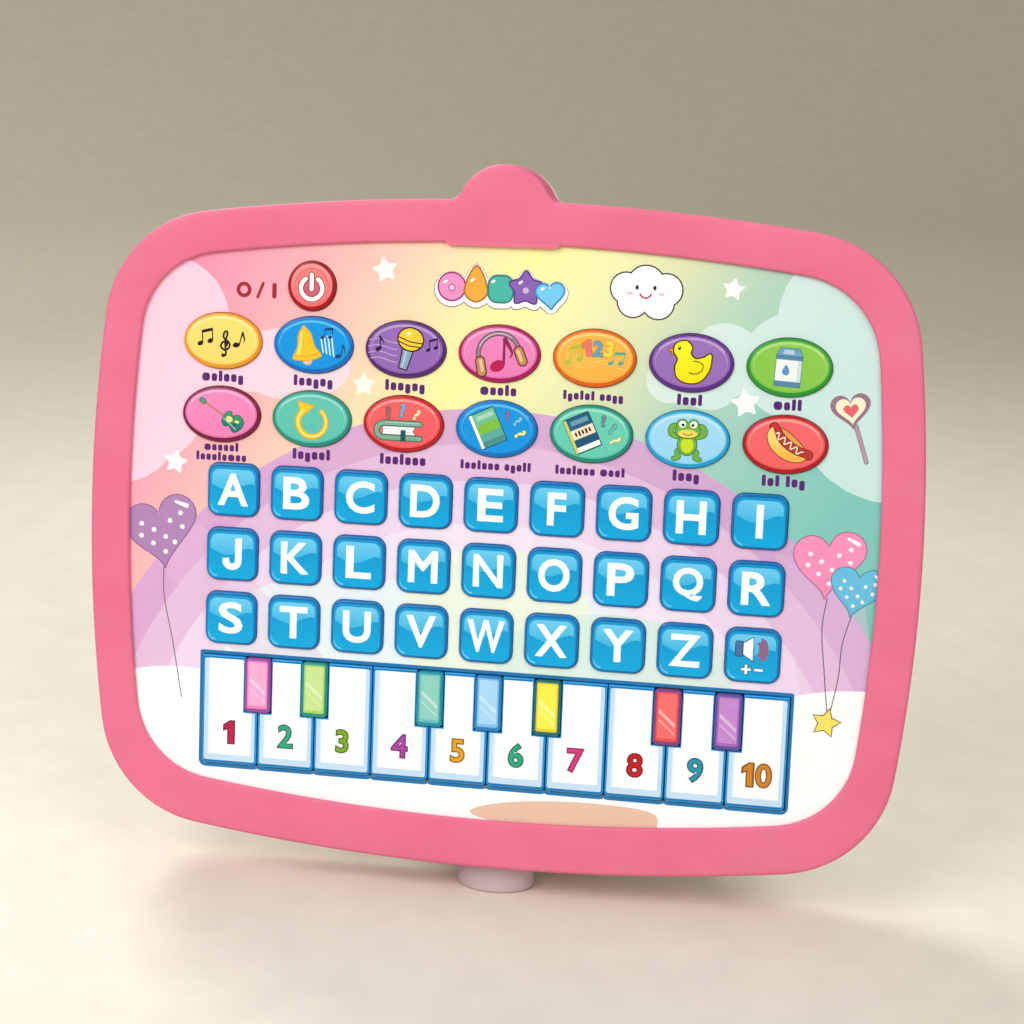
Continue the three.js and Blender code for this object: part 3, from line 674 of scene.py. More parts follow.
def rainbow(nodes):
    """The panel's gradient: left to right, and slanting to the left lower down."""
    place = nodes.coordinates()
    level = (ORIGIN.z / MM + RAINBOW_LEVEL * UP.z) * RAINBOW_SLANT
    slant = nodes.add("ShaderNodeMath", operation="MULTIPLY_ADD")
    slant.inputs[1].default_value = -RAINBOW_SLANT
    slant.inputs[2].default_value = level
    nodes.link(place["Z"], slant.inputs[0])
    along = nodes.add("ShaderNodeMath", operation="ADD")
    nodes.link(place["X"], along.inputs[0])
    nodes.link(slant.outputs[0], along.inputs[1])
    first, last = RAINBOW[0][0], RAINBOW[-1][0]
    ramp = nodes.add("ShaderNodeValToRGB")
    nodes.link(nodes.share(along.outputs[0], first, last), ramp.inputs["Fac"])
    stops = ramp.color_ramp.elements
    for stop, (_, colour) in zip(stops, (RAINBOW[0], RAINBOW[-1])):
        stop.color = (*rgb(*colour), 1)
    for spot, colour in RAINBOW[1:-1]:
        stops.new((spot - first) / (last - first)).color = (*rgb(*colour), 1)
    return ramp.outputs["Color"]


def printed(name, base, roughness, wave, coat, sheen=0.5):
    """A glossy print: the ink of each region over the sheet's own colour, under a clear coat."""
    nodes = Nodes(name)
    ink = nodes.add("ShaderNodeAttribute", attribute_name="ink")
    under = base(nodes) if callable(base) else base
    colour = nodes.mix(ink.outputs["Alpha"], under, ink.outputs["Color"])
    nodes.shader.inputs["Specular IOR Level"].default_value = sheen
    nodes.shader.inputs["Coat Weight"].default_value = coat
    nodes.shader.inputs["Coat Roughness"].default_value = 0.12
    return nodes.finish(colour, roughness, wave, 0, 0.008)


def metal(name, colour, roughness=(0.22, 0.42)):
    """Plated steel with fine drawn lines."""
    nodes = Nodes(name)
    nodes.shader.inputs["Metallic"].default_value = 1
    lines = nodes.ranged(nodes.noise(1.2, 4, (0.15, 3, 3)), 0, 1)
    colour = nodes.mix(lines, rgb(*colour), rgb(*mixed(colour, (90, 92, 96), 0.3)))
    return nodes.finish(colour, roughness, 0.02, 0.02)


def laminate(name):
    """Green lacquered board with copper tracks under the lacquer."""
    nodes = Nodes(name)
    tracks = nodes.add("ShaderNodeTexBrick")
    tracks.inputs["Scale"].default_value = 0.12
    tracks.inputs["Mortar Size"].default_value = 0.05
    nodes.link(nodes.place(), tracks.inputs["Vector"])
    colour = nodes.mix(tracks.outputs["Fac"], rgb(32, 110, 62), rgb(58, 140, 80))
    return nodes.finish(colour, (0.3, 0.5), 0.03, 0.02)


BAND_START = 9


def wrapped_cell(name):
    """A cell's sleeve: dark blue with a metallic band along part of its length."""
    nodes = Nodes(name)
    band = nodes.add("ShaderNodeMath", operation="GREATER_THAN")
    band.inputs[1].default_value = BAND_START
    nodes.link(nodes.coordinates()["X"], band.inputs[0])
    colour = nodes.mix(band.outputs[0], rgb(34, 66, 120), rgb(196, 170, 110))
    return nodes.finish(colour, (0.25, 0.4), 0.02, 0.01)


PINK_PLASTIC = moulded("pink_plastic", (228, 104, 138), (0.5, 0.62), 0.04, 0.02)
WHITE_PLASTIC = moulded("white_plastic", (238, 235, 231), (0.4, 0.55), 0.05, 0.03)
# The foot's colour is painted shade: its pale pinkish-white plastic is darkened to a grey mauve, as it looks in
# the shadow under the board.
FOOT_PLASTIC_PAINTED_SHADE = moulded("foot_plastic_painted_shade", (190, 172, 176), (0.4, 0.55), 0.05, 0.02)
SILICONE = moulded("silicone", (222, 219, 212), (0.6, 0.75), 0.03, 0.03)
DRIVER = moulded("speaker_driver", (34, 34, 37), (0.5, 0.7), 0.05, 0.06)
STEEL = metal("contact_steel", (190, 192, 196))
LAMINATE = laminate("board_laminate")
CELL = wrapped_cell("battery_cell")
PANEL_PRINT = printed("panel_print", rainbow, (0.34, 0.42), 0.015, 0.15)
KEY_PRINT = printed("key_print", rgb(255, 255, 255), (0.26, 0.36), 0.02, 0.2, 0.25)

# ---------------------------------------------------------------- inks

WHITE = (255, 255, 255)
BLACK = (28, 22, 26)
LABEL = (84, 16, 108)
ON_RED = (160, 12, 40)
LINE_BLUE = (0, 114, 174)
# The slit blue is painted light: a lighter blue than the printed lines, set against the shade deep in the narrow
# slits between and round the keys.
SLIT_BLUE_PAINTED_LIGHTER = (40, 160, 230)
LINE_BROWN = (96, 62, 24)


DRAWN = {  # glyphs of height 1 that are drawn here and not taken from the font
    "1": [(-0.02, -0.5), (0.18, -0.5), (0.18, 0.5), (0.04, 0.5), (-0.2, 0.3), (-0.2, 0.14), (-0.02, 0.22)],
    "J": [
        (0.28, 0.5), (0.14, 0.5), *arc_points(0.01, -0.23, 0.13, 0, -math.pi, 8), (-0.12, -0.17),
        (-0.26, -0.19),
        *arc_points(0.01, -0.23, 0.27, math.pi, 2 * math.pi, 12),
    ],
}


USUAL_WIDTH = 0.84  # of a glyph, as a share of its height


def glyph(text, height, x=0, y=0, bold=0, turn=0, even=0):
    """The outlines of a letter or digit, centred at x, y. bold is how far, in mm, its strokes are
    thickened, and even how far its width is drawn towards the usual one."""
    if text in DRAWN:
        outline = [(px * height, py * (height - 2 * bold)) for px, py in DRAWN[text]]
        return [placed(grown(outline, bold), x, y, turn)]
    curve = bpy.data.curves.new("glyph", "FONT")
    curve.body = text
    curve.size = 1
    curve.resolution_u = 4
    curve.fill_mode = "NONE"
    holder = bpy.data.objects.new("glyph", curve)
    bpy.context.scene.collection.objects.link(holder)
    depsgraph = bpy.context.evaluated_depsgraph_get()
    mesh = bpy.data.meshes.new_from_object(holder.evaluated_get(depsgraph))
    bpy.data.objects.remove(holder)
    beside = {}
    for edge in mesh.edges:
        a, b = edge.vertices
        beside.setdefault(a, []).append(b)
        beside.setdefault(b, []).append(a)
    points = [tuple(v.co[:2]) for v in mesh.vertices]
    bpy.data.meshes.remove(mesh)
    low, high = np.min(points, axis=0), np.max(points, axis=0)
    scale = (height - 2 * bold) / (high[1] - low[1])
    share = (high[0] - low[0]) * scale / height
    across = scale * (1 + even * (USUAL_WIDTH / share - 1)) if share > 0.5 else scale
    points = [
        ((px - (low[0] + high[0]) / 2) * across, (py - (low[1] + high[1]) / 2) * scale)
        for px, py in points
    ]
    loops = []
    while beside:
        here, loop = next(iter(beside)), []
        while here is not None:
            loop.append(points[here])
            here = next((other for other in beside.pop(here) if other in beside), None)
        loops.append(loop)
    grown_loops = []
    for loop in loops:
        depth = sum(inside(np.array(loop[:1]), other)[0] for other in loops if other is not loop)
        anticlockwise = area_of(loop) > 0
        if anticlockwise == (depth % 2 == 1):
            loop = loop[::-1]
        grown_loops.append(placed(grown(loop, bold), x, y, turn))
    return grown_loops


def write(sheet, colour, text, height, x=0, y=0, bold=0, turn=0, even=0):
    sheet.ink(colour, *glyph(text, height, x, y, bold, turn, even), even_odd=True)


def quaver(x, y, size, turn=0):
    """A single note: an oval head, a stem and a flag."""
    head = ellipse(-0.18, -0.4, 0.24, 0.17, 25, 16)
    stem = ribbon([(0.03, -0.35), (0.03, 0.5)], 0.09)
    flag = ribbon(smooth([(0.05, 0.48), (0.22, 0.22), (0.3, 0.02), (0.22, -0.12)], False, 4), 0.16, 0.03)
    return [placed(loop, x, y, turn, size) for loop in (head, stem, flag)]


def beamed(x, y, size, turn=0):
    """Two notes joined by a beam."""
    heads = [ellipse(-0.42, -0.42, 0.2, 0.15, 25, 16), ellipse(0.26, -0.28, 0.2, 0.15, 25, 16)]
    stems = [ribbon([(-0.25, -0.38), (-0.25, 0.36)], 0.08), ribbon([(0.43, -0.24), (0.43, 0.5)], 0.08)]
    beam = [(-0.29, 0.22), (0.47, 0.36), (0.47, 0.56), (-0.29, 0.42)]
    return [placed(loop, x, y, turn, size) for loop in (*heads, *stems, beam)]


def clef(x, y, size):
    """A treble clef as one curling stroke with a dot at its foot."""
    curl = smooth([
        (0.02, -0.12), (0.12, 0.0), (0.02, 0.12), (-0.14, 0.04), (-0.18, -0.14), (-0.02, -0.28),
        (0.18, -0.2),
        (0.24, 0.0), (0.1, 0.16), (-0.06, 0.3), (-0.04, 0.52), (0.08, 0.6), (0.12, 0.46), (0.02, 0.1),
        (0.06, -0.44), (0.0, -0.56),
    ], False, 4)
    parts = [ribbon(curl[i:i + 9], 0.1) for i in range(0, len(curl) - 1, 8)]
    return [placed(loop, x, y, 0, size) for loop in (*parts, circle(-0.08, -0.54, 0.09, 12))]


def letter_sheet(half):
    """The printed face of a blue key: a deep body and a glassy upper part with a wavy edge."""
    side = LETTER_SIDE - 2 * CAP_EDGE
    sheet = Sheet(rounded_box(0, 0, side, side, LETTER_CORNER - CAP_EDGE))
    sheet.ink((0, 104, 164), grown(sheet.outline, 0.01))
    body = rounded_box(0, -0.16, side - 0.25, side - 0.5, LETTER_CORNER - CAP_EDGE - 0.2)
    sheet.ink(fade((0, 166, 222), (2, 148, 208), -6, 6), body)
    width = side - 1.5
    glass = rounded_box(0, -0.2, width, side - 2.1, LETTER_CORNER - 1.1)

    def wave(x):
        return half + 1.2 * math.sin((x - 2.2) * math.pi / 7.5) * (1 if x < 6 else 0.8)

    upper = [p for p in glass if p[1] > wave(p[0])]
    across = [(-width / 2 + width * i / 12, wave(-width / 2 + width * i / 12)) for i in range(13)]
    sheet.ink(fade((62, 182, 228), (108, 202, 242), half - 1, 6), upper + across)
    shine = ribbon(arc(-4.5, -4.4, 2.5, 185, 262, 6), 0.16, 0.4)
    sheet.ink((120, 210, 248), shine)
    return sheet


def oval_sheet(rim, face):
    """The printed face of a picture key: a rim that is thicker below and a thin pale line inside it."""
    rx, ry = PICTURE_WIDTH / 2 - CAP_EDGE, PICTURE_HEIGHT / 2 - CAP_EDGE
    sheet = Sheet(ellipse(0, 0, rx, ry, 0, 56))
    sheet.ink(rim, grown(sheet.outline, 0.01))
    pale = mixed(face, WHITE, 0.34)
    sheet.ink(mixed(face, rim, 0.16), ellipse(0, 0.3, rx - 0.3, ry - 0.4, 0, 56))
    sheet.ink(fade(mixed(face, WHITE, 0.12), pale, -5, 5), ellipse(0, 0.3, rx - 1.0, ry - 1.1, 0, 48))
    sheet.ink(fade(mixed(face, rim, 0.06), face, -5, 5), ellipse(0, 0.15, rx - 1.25, ry - 1.35, 0, 48))
    top = arc(0, 0, 1, 28, 152, 20)
    outer = [(x * (rx - 0.7), y * (ry - 0.8) + 0.3) for x, y in top]
    inner = [(x * (rx - 1.0), y * (ry - 1.5) + 0.3) for x, y in reversed(top)]
    sheet.ink(pale, outer + inner)
    return sheet


# ---------------------------------------------------------------- pictures on the oval keys


def draw_melody(sheet):
    sheet.ink(BLACK, *beamed(-5.1, 1.1, 4.7, 4))
    sheet.ink(BLACK, *clef(0.8, -0.9, 6.4))
    sheet.ink(BLACK, *quaver(5.6, 0.5, 4.6, -14))


def draw_bell(sheet):
    lean = partial(placed, x=-1.9, y=0.2, turn=8)
    clapper = lean([(px, py - 4.2) for px, py in ellipse(0, 0, 1.1, 0.9, 0, 16)])
    sheet.outlined((238, 196, 176), (200, 140, 120), 0.15, clapper)
    side = [(0.7, 3.6), (1.6, 2.2), (2.1, -0.6), (3.4, -2.7), (3.2, -3.5), (0, -4.0)]
    outline = smooth([(0, 4.4), *side, *[(-px, py) for px, py in reversed(side[:-1])]])
    bell = lean(outline[::-1])
    sheet.outlined((248, 196, 40), (222, 150, 20), 0.2, bell)
    sheet.ink((255, 226, 110), lean(ribbon([(-0.7, 2.9), (-1.3, 0.2), (-2.1, -2.3)], 0.5, 0.7)))
    sheet.ink((224, 160, 24), lean(ribbon([(-3, -2.7), (0, -3.1), (3, -2.7)], 0.28)))
    for i in range(4):
        foot = (2.6 + i * 0.9, -1.6 - 0.3 * i)
        sheet.ink((215, 240, 250), ribbon([foot, (foot[0] - 0.7, foot[1] + 3.6 + 0.5 * i)], 0.34))
    sheet.ink((10, 60, 120), *beamed(3.6, 3.0, 2.8, -6))
    sheet.ink((20, 70, 130), *quaver(7.2, -1.3, 3.2, -8))


def draw_singing(sheet):
    for i in range(4):
        line = [(x, -2.6 + 1.5 * i + 0.5 * math.sin(x * 0.7)) for x in range(-9, -1)]
        sheet.ink((190, 165, 205), ribbon(line, 0.22))
    sheet.ink((40, 25, 60), *quaver(-6.2, 1.2, 3.2, 8))
    sheet.ink((40, 25, 60), *beamed(6.6, 1.4, 2.8, 6))
    lean = partial(placed, x=0.7, y=0.2, turn=-14)
    handle = lean([(-1.25, 0.4), (1.25, 0.4), (0.85, -4.9), (-0.85, -4.9)][::-1])
    sheet.outlined((140, 165, 190), BLACK, 0.3, handle)
    sheet.ink((196, 214, 228), lean([(-0.5, 0), (-0.1, 0), (-0.15, -4.8), (-0.35, -4.8)][::-1]))
    head = lean(ellipse(0, 2.3, 3.0, 2.6, 0, 28))
    sheet.outlined((250, 205, 60), BLACK, 0.35, head)
    for low in (2.0, 1.0):
        sheet.ink(BLACK, lean(ribbon([(-2.9, low + 0.1), (0, low - 0.3), (2.9, low + 0.1)], 0.28)))
    sheet.ink((255, 235, 150), lean(ellipse(-0.9, 3.5, 0.8, 0.5, 25, 14)))


def draw_music(sheet):
    lean = partial(placed, x=0, y=-0.2, turn=17)
    band = arc(0, 0, 5.6, 2, 178, 20)
    sheet.ink((84, 62, 78), lean(ribbon(band, 1.35)))
    sheet.ink((150, 128, 138), lean(ribbon(band, 0.85)))
    sheet.ink((206, 190, 196), lean(ribbon(band[4:17], 0.3)))
    for side in (-1, 1):
        cup = rounded_box(side * 5.5, -1.8, 2.1, 5.0, 1.0, side * 6)
        sheet.outlined((196, 140, 92), (88, 48, 52), 0.35, lean(cup))
        sheet.ink((238, 196, 148), lean(rounded_box(side * 5.3, -1.6, 0.8, 3.4, 0.38, side * 6)))
    head, stem, flag = quaver(1.1, 0.0, 8.0)
    sheet.ink((140, 40, 92), stem, flag)
    sheet.ink((186, 26, 84), grown(head, 0.15))


def draw_digits(sheet):
    staff = [(x * 0.95, -2.2 + 0.7 * math.sin(x * 0.5)) for x in range(-9, 10)]
    for i in range(4):
        sheet.ink((246, 208, 110), ribbon([(x, y + 1.0 * i) for x, y in staff], 0.2))
    sheet.ink((176, 190, 60), *beamed(-5.8, 1.0, 5.2, 8))
    sheet.ink((80, 166, 150), *beamed(6.9, 0.2, 4.2, -10))
    digits = (("1", -2.2, (236, 116, 110), 8), ("2", 1.0, (96, 160, 180), 0),
              ("3", 4.2, (250, 214, 70), -8))
    for text, x, colour, turn in digits:
        write(sheet, (214, 130, 40), text, 5.2, x, 2.9, 0.55, turn)
        write(sheet, colour, text, 4.8, x, 2.9, 0.35, turn)


def draw_duck(sheet):
    body = smooth([
        (-3.0, 5.0), (-1.2, 5.2), (0.0, 3.8), (-0.2, 2.2), (1.0, 1.0), (3.0, 1.4), (4.6, 2.3), (4.8, 0.6),
        (4.2, -2.0), (2.2, -4.4), (-0.8, -4.8), (-3.2, -3.6), (-3.8, -1.0), (-3.2, 0.8), (-4.2, 2.6),
        (-4.0, 4.2),
    ])[::-1]
    beak = [(-4.0, 3.6), (-5.7, 3.0), (-4.8, 2.6), (-5.0, 2.1), (-3.9, 2.4)]
    sheet.outlined((240, 150, 40), LINE_BROWN, 0.22, beak)
    sheet.outlined(fade((252, 226, 16), (255, 244, 40), -4, 4), (84, 50, 20), 0.36, body)
    wing = smooth([(-1.2, 0.0), (1.0, 0.5), (2.8, -0.2), (2.6, -1.8), (0.9, -2.6), (-1.0, -1.9)])
    sheet.ink((130, 96, 20), ribbon(wing[4:24], 0.3))
    sheet.ink(BLACK, ellipse(-3.0, 3.5, 0.36, 0.5, 0, 14))
    sheet.ink(WHITE, circle(-3.1, 3.7, 0.13, 8))


def draw_milk(sheet):
    lean = partial(placed, x=-0.2, y=0, turn=-3)
    sheet.outlined((84, 134, 170), (60, 100, 130), 0.15, lean(oblong(-3.4, 3.3, -4.9, 3.2)))
    sheet.ink((236, 242, 240), lean(oblong(-3.4, 3.3, -3.6, 2.0)))
    sheet.ink((206, 220, 222), lean(oblong(2.2, 3.3, -3.6, 2.0)))
    roof = lean([(-3.4, 3.1), (3.3, 3.1), (2.5, 5.0), (-2.6, 5.0)])
    sheet.outlined((110, 160, 194), (60, 100, 130), 0.15, roof)
    sheet.ink((172, 204, 224), lean([(-1.9, 3.5), (1.2, 3.5), (0.9, 4.7), (-1.5, 4.7)]))
    drop = smooth([(0, 1.7), (0.9, 0.2), (0.6, -0.9), (-0.6, -0.9), (-0.9, 0.2)])[::-1]
    sheet.ink((84, 150, 200), lean([(px - 0.7, py - 1.0) for px, py in drop]))


def draw_guitar(sheet):
    lean = partial(placed, x=1.6, y=-0.8, turn=-32)
    sheet.ink((150, 60, 70), lean(ribbon([(-8.6, 0.05), (-0.5, 0.05)], 0.55)))
    sheet.ink((240, 200, 150), lean(ribbon([(-8.4, 0.05), (-0.5, 0.05)], 0.16)))
    sheet.outlined((90, 150, 110), (30, 90, 80), 0.18, lean(rounded_box(-8.8, 0.05, 2.0, 1.3, 0.4)))
    body = lean(smooth([
        (-0.6, 1.3), (0.6, 2.3), (1.5, 1.4), (3.2, 2.7), (5.4, 1.8), (5.7, -0.4), (4.4, -2.5), (2.2, -1.6),
        (1.0, -2.4), (-0.5, -1.5),
    ])[::-1])
    sheet.outlined(fade((26, 120, 110), (64, 160, 110), -4, 1), (18, 76, 84), 0.22, body)
    sheet.ink((238, 222, 130), lean(ellipse(1.2, 0.1, 1.1, 0.9, 0, 16)),
              lean(ellipse(3.6, 0.7, 0.8, 0.5, 30, 12)))
    sheet.ink((30, 70, 90), lean(rounded_box(3.5, -0.6, 0.6, 1.8, 0.2)))
    sheet.ink((170, 210, 220), lean(ribbon([(-0.4, -0.7), (4.6, -1.4)], 0.28)))


def draw_repeat(sheet):
    turn = arc(0.2, -0.8, 3.9, 128, 410, 26)
    head = placed([(-1.7, -1.2), (1.9, 0.1), (-1.1, 2.1)], -1.5, 2.7, 22)
    for width, grow, ink in ((1.9, 0.55, (222, 156, 28)), (1.3, 0.25, (252, 206, 40)),
                             (0.4, None, (255, 240, 150))):
        stroke = ribbon(turn, width, width * 0.7)
        sheet.ink(ink, *([stroke] if grow is None else [stroke, grown(head, grow)]))


def draw_book(sheet, cover, low_cover, band, pages, spine):
    """A closed book standing askew, leaning to the left."""
    lean = partial(placed, x=-2.6, y=0.2, turn=25)
    sheet.ink((20, 50, 60), lean(rounded_box(0, 0, 8.4, 11.0, 0.5)))
    sheet.ink(low_cover, lean(rounded_box(0.3, 0, 7.3, 10.5, 0.3)))
    sheet.ink(cover, lean(oblong(-3.3, 3.9, 0, 5.1)))
    sheet.ink(spine, lean(rounded_box(-3.6, 0, 0.9, 10.5, 0.3)))
    sheet.ink(band, lean(oblong(-3.1, 3.9, -1.2, 1.7)))
    sheet.ink(pages, lean(oblong(-3.1, 3.9, -5.1, -3.6)))
    sheet.ink(mixed(cover, WHITE, 0.35), lean(oblong(-2.2, 3.2, 2.9, 4.3)))


def draw_marks(sheet, marks):
    """Question marks, each (x, y, height, turn, colour)."""
    for x, y, height, turn, colour in marks:
        write(sheet, mixed(colour, BLACK, 0.5), "?", height + 0.5, x, y, 0.34, turn)
        write(sheet, colour, "?", height + 0.2, x, y, 0.16, turn)


def draw_question(sheet):
    green, dark = (120, 175, 150), (52, 92, 84)
    bend = arc(-5.2, -1.8, 1.9, 90, 270, 10)
    cover = [(4.6, 0.1), *bend, (4.6, -3.7)]
    sheet.ink(dark, ribbon(cover, 1.7))
    sheet.ink(green, ribbon(cover, 1.15))
    sheet.ink((170, 205, 185), ribbon([(4.2, 0.3), (-4.6, 0.35)], 0.3))
    sheet.outlined(WHITE, dark, 0.2, [(-5.4, -2.8), (3.2, -2.8), (2.6, -1.8), (3.2, -0.8), (-5.4, -0.8)])
    for y in (-1.4, -2.1):
        sheet.ink((190, 205, 205), ribbon([(-5, y), (2.4, y)], 0.14))
    sheet.ink((30, 84, 84), [(-0.6, -4.9), (0.1, -4.4), (0.8, -4.9), (0.8, -1.6), (-0.6, -1.6)])
    draw_marks(sheet, [
        (-4.0, 2.8, 3.0, 6, (150, 110, 124)), (-0.2, 3.5, 3.4, -4, (110, 180, 210)),
        (3.6, 2.5, 2.8, -30, (248, 226, 170)),
    ])


def draw_spelling(sheet):
    draw_book(sheet, (110, 190, 150), (90, 170, 160), (124, 190, 60), (70, 140, 140), WHITE)
    draw_marks(sheet, [
        (3.3, 4.1, 2.8, 0, (150, 110, 170)), (6.4, 2.6, 3.2, -40, (130, 200, 236)),
        (7.3, -1.2, 3.4, -60, (248, 240, 150)),
    ])


def draw_word(sheet):
    draw_book(sheet, (28, 96, 132), (22, 84, 120), (250, 226, 196), (246, 246, 246), (206, 206, 110))
    lean = partial(placed, x=-2.6, y=0.2, turn=25)
    sheet.ink(BLACK, *[lean(rounded_box(-1.9 + 1.1 * i, 0.25, 0.6, 1.3 + 0.3 * (i % 2),
                                        0.25)) for i in range(5)])
    draw_marks(sheet, [
        (3.6, 4.0, 3.2, 0, (112, 140, 160)), (6.4, 1.8, 3.2, -30, (110, 186, 186)),
        (7.3, -1.6, 3.4, -60, (240, 242, 170)),
    ])


def draw_frog(sheet):
    skin, dark = (112, 176, 62), (40, 96, 44)
    for side in (-1, 1):
        arm = smooth([(side * 2.0, 0.6), (side * 4.4, 1.4), (side * 4.2, 3.2), (side * 2.8, 3.6)], False, 4)
        leg = smooth([(side * 1.4, -2.6), (side * 2.6, -3.4), (side * 2.2, -4.8), (side * 3.4, -5.2)],
                     False, 4)
        sheet.ink(dark, ribbon(arm, 1.6), ribbon(leg, 1.5))
        sheet.ink(skin, ribbon(arm, 1.2), ribbon(leg, 1.1))
    sheet.outlined(skin, dark, 0.22, ellipse(0, -1.4, 2.5, 2.8, 0, 26))
    sheet.ink((200, 222, 40), ellipse(0, -1.5, 1.7, 2.1, 0, 22))
    eyes = [circle(-1.5, 3.9, 1.35, 20), circle(1.5, 3.9, 1.35, 20)]
    head = ellipse(0, 2.3, 3.3, 2.0, 0, 30)
    sheet.ink(dark, grown(head, 0.22), *[grown(eye, 0.22) for eye in eyes])
    sheet.ink(skin, head, *eyes)
    sheet.ink((245, 214, 96), ellipse(0, 1.55, 2.6, 1.05, 0, 24))
    sheet.ink(WHITE, *[circle(x, 4.0, 0.95, 16) for x in (-1.5, 1.5)])
    sheet.ink(BLACK, *[circle(x, 3.8, 0.42, 12) for x in (-1.3, 1.3)])
    sheet.ink((150, 60, 40), ribbon(arc(0, 2.6, 1.5, 225, 315, 8), 0.26))


def draw_hotdog(sheet):
    lean = partial(placed, x=0.3, y=-0.3, turn=-36)
    back = smooth([(-5.6, 1.0), (0, -0.4), (5.8, 0.2), (5.2, 2.4), (1.6, 3.4), (-2.6, 3.6), (-5.4, 2.8)])
    sheet.outlined((232, 160, 80), (126, 40, 44), 0.26, lean(back))
    sausage = ribbon(smooth([(-6.4, 2.2), (-3, 0.9), (0.5, 0.5), (4, 0.9), (7.0, 1.9)], False, 4), 2.7)
    sheet.outlined((186, 52, 48), (118, 20, 34), 0.26, lean(sausage))
    bun = smooth([
        (-6.9, 1.8), (-6.6, -0.8), (-4.2, -2.9), (-0.6, -3.8), (3.4, -3.2), (6.2, -1.4), (7.0, 0.6),
        (4.2, -0.4),
        (0.4, -0.9), (-3.2, -0.3), (-5.6, 1.2),
    ])
    sheet.outlined(fade((242, 176, 76), (255, 212, 116), -4, 1), (126, 40, 44), 0.26, lean(bun))
    wiggle = [(-4.8 + 0.5 * i, 0.9 + 0.9 * math.sin(i * 1.35)) for i in range(21)]
    sheet.ink((118, 20, 34), lean(ribbon(smooth(wiggle, False, 3), 0.8)))
    sheet.ink((255, 226, 196), lean(ribbon(smooth(wiggle, False, 3), 0.42)))


def enlarged(layers, scale):
    return [
        (colour, [placed(loop, 0, 0, 0, scale) for loop in loops], alpha, even_odd)
        for colour, loops, alpha, even_odd in layers
    ]


PICTURES = {  # node: rim, face, drawing, its size
    "melody": ((232, 150, 36), (253, 221, 116), draw_melody, 1.0),
    "bell": ((8, 108, 190), (8, 150, 228), draw_bell, 1.22),
    "singing": ((78, 38, 112), (150, 106, 186), draw_singing, 1.25),
    "music": ((165, 12, 92), (238, 134, 192), draw_music, 1.12),
    "digits": ((216, 98, 18), (252, 182, 72), draw_digits, 1.0),
    "duck": ((88, 38, 130), (152, 112, 186), draw_duck, 1.2),
    "milk": ((36, 146, 48), (140, 200, 76), draw_milk, 1.1),
    "guitar": ((118, 14, 62), (244, 138, 190), draw_guitar, 1.0),
    "repeat": ((34, 138, 122), (96, 196, 180), draw_repeat, 1.12),
    "question": ((180, 22, 32), (244, 98, 100), draw_question, 1.14),
    "spelling": ((8, 110, 192), (10, 150, 226), draw_spelling, 1.0),
    "word": ((28, 134, 118), (104, 206, 180), draw_word, 1.0),
    "frog": ((22, 158, 210), (160, 216, 246), draw_frog, 1.1),
    "hotdog": ((172, 18, 26), (244, 104, 106), draw_hotdog, 0.95),
}

# ---------------------------------------------------------------- keys

CAP_PROFILE = [(0.23, CAP_TOP - 0.05), (0.42, CAP_TOP - 0.18), (0.55, CAP_TOP - 0.37), (0.6, CAP_TOP - 0.6),
               (0.6, CAP_BOTTOM)]


def stands_for(piece, node):
    """The piece takes a CAD node's place and body, and the node is hidden."""
    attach(piece, BODY_OF[node])
    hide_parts(node)


def key(node, sheet, side_ink):
    """A printed key cap that stands for its CAD node."""
    place = place_of(node)
    cap = printed_piece(node + "_cap", sheet, CAP_TOP, CAP_PROFILE, side_ink, KEY_PRINT, place.x, place.y)
    stands_for(cap, node)


def volume_sheet():
    sheet = letter_sheet(0.9)
    sheet.outlined((70, 110, 165), BLACK, 0.18, rounded_box(-3.9, 1.9, 2.2, 4.4, 0.4))
    sheet.outlined(WHITE, BLACK, 0.25, [(-2.7, 0.3), (0.1, -1.5), (0.1, 5.4), (-2.7, 3.6)])
    waves = [ribbon(arc(0.2, 1.9, r, -50, 50, 8), 0.9) for r in (2.4, 4.0)]
    sheet.ink((140, 100, 135), *waves, ellipse(3.2, 1.9, 1.4, 3.2, 0, 20))
    plus = [rounded_box(-1.7, -4.2, 2.9, 0.75, 0.2), rounded_box(-1.7, -4.2, 0.75, 2.9, 0.2)]
    minus = rounded_box(2.0, -4.2, 2.6, 0.75, 0.2)
    sheet.outlined(WHITE, (20, 60, 100), 0.22, *plus, minus)
    return sheet


def power_sheet():
    radius = POWER_RADIUS - CAP_EDGE
    sheet = Sheet(circle(0, 0, radius, 48))
    sheet.ink((170, 14, 22), circle(0, 0, radius + 0.01, 48))
    sheet.ink(fade((246, 108, 112), (248, 148, 148), -5, 5), circle(0, 0.3, radius - 0.4, 44))
    sheet.ink((240, 98, 104), circle(0, 0.15, radius - 1.5, 36))
    sheet.ink((246, 128, 130), circle(0, 0.0, radius - 1.75, 36))
    sheet.ink((214, 92, 128), circle(0, -0.5, 2.4, 28))
    ring = arc(0, -0.6, 3.3, 125, 415, 26)
    bar = [(0, -0.9), (0, 3.4)]
    for width, ink in ((1.85, (120, 52, 58)), (1.3, (255, 252, 242))):
        sheet.ink(ink, ribbon(ring, width))
        sheet.ink(ink, ribbon(bar, width))
    return sheet


for letter in "abcdefghijklmnopqrstuvwxyz":
    face = letter_sheet(0.9)
    write(face, (247, 252, 253), letter.upper(), 9.9, 0, 0.1, 0.36, 0, 0.6)
    key("key_" + letter, face, (0, 112, 184))
key("key_volume", volume_sheet(), (0, 112, 184))
key("power_button", power_sheet(), (150, 10, 20))
for subject, (rim_ink, face_ink, draw, scale) in PICTURES.items():
    face = oval_sheet(rim_ink, face_ink)
    drawing = Sheet(())
    draw(drawing)
    face.layers += enlarged(drawing.layers, scale)
    key("picture_" + subject, face, rim_ink)

# ---------------------------------------------------------------- piano

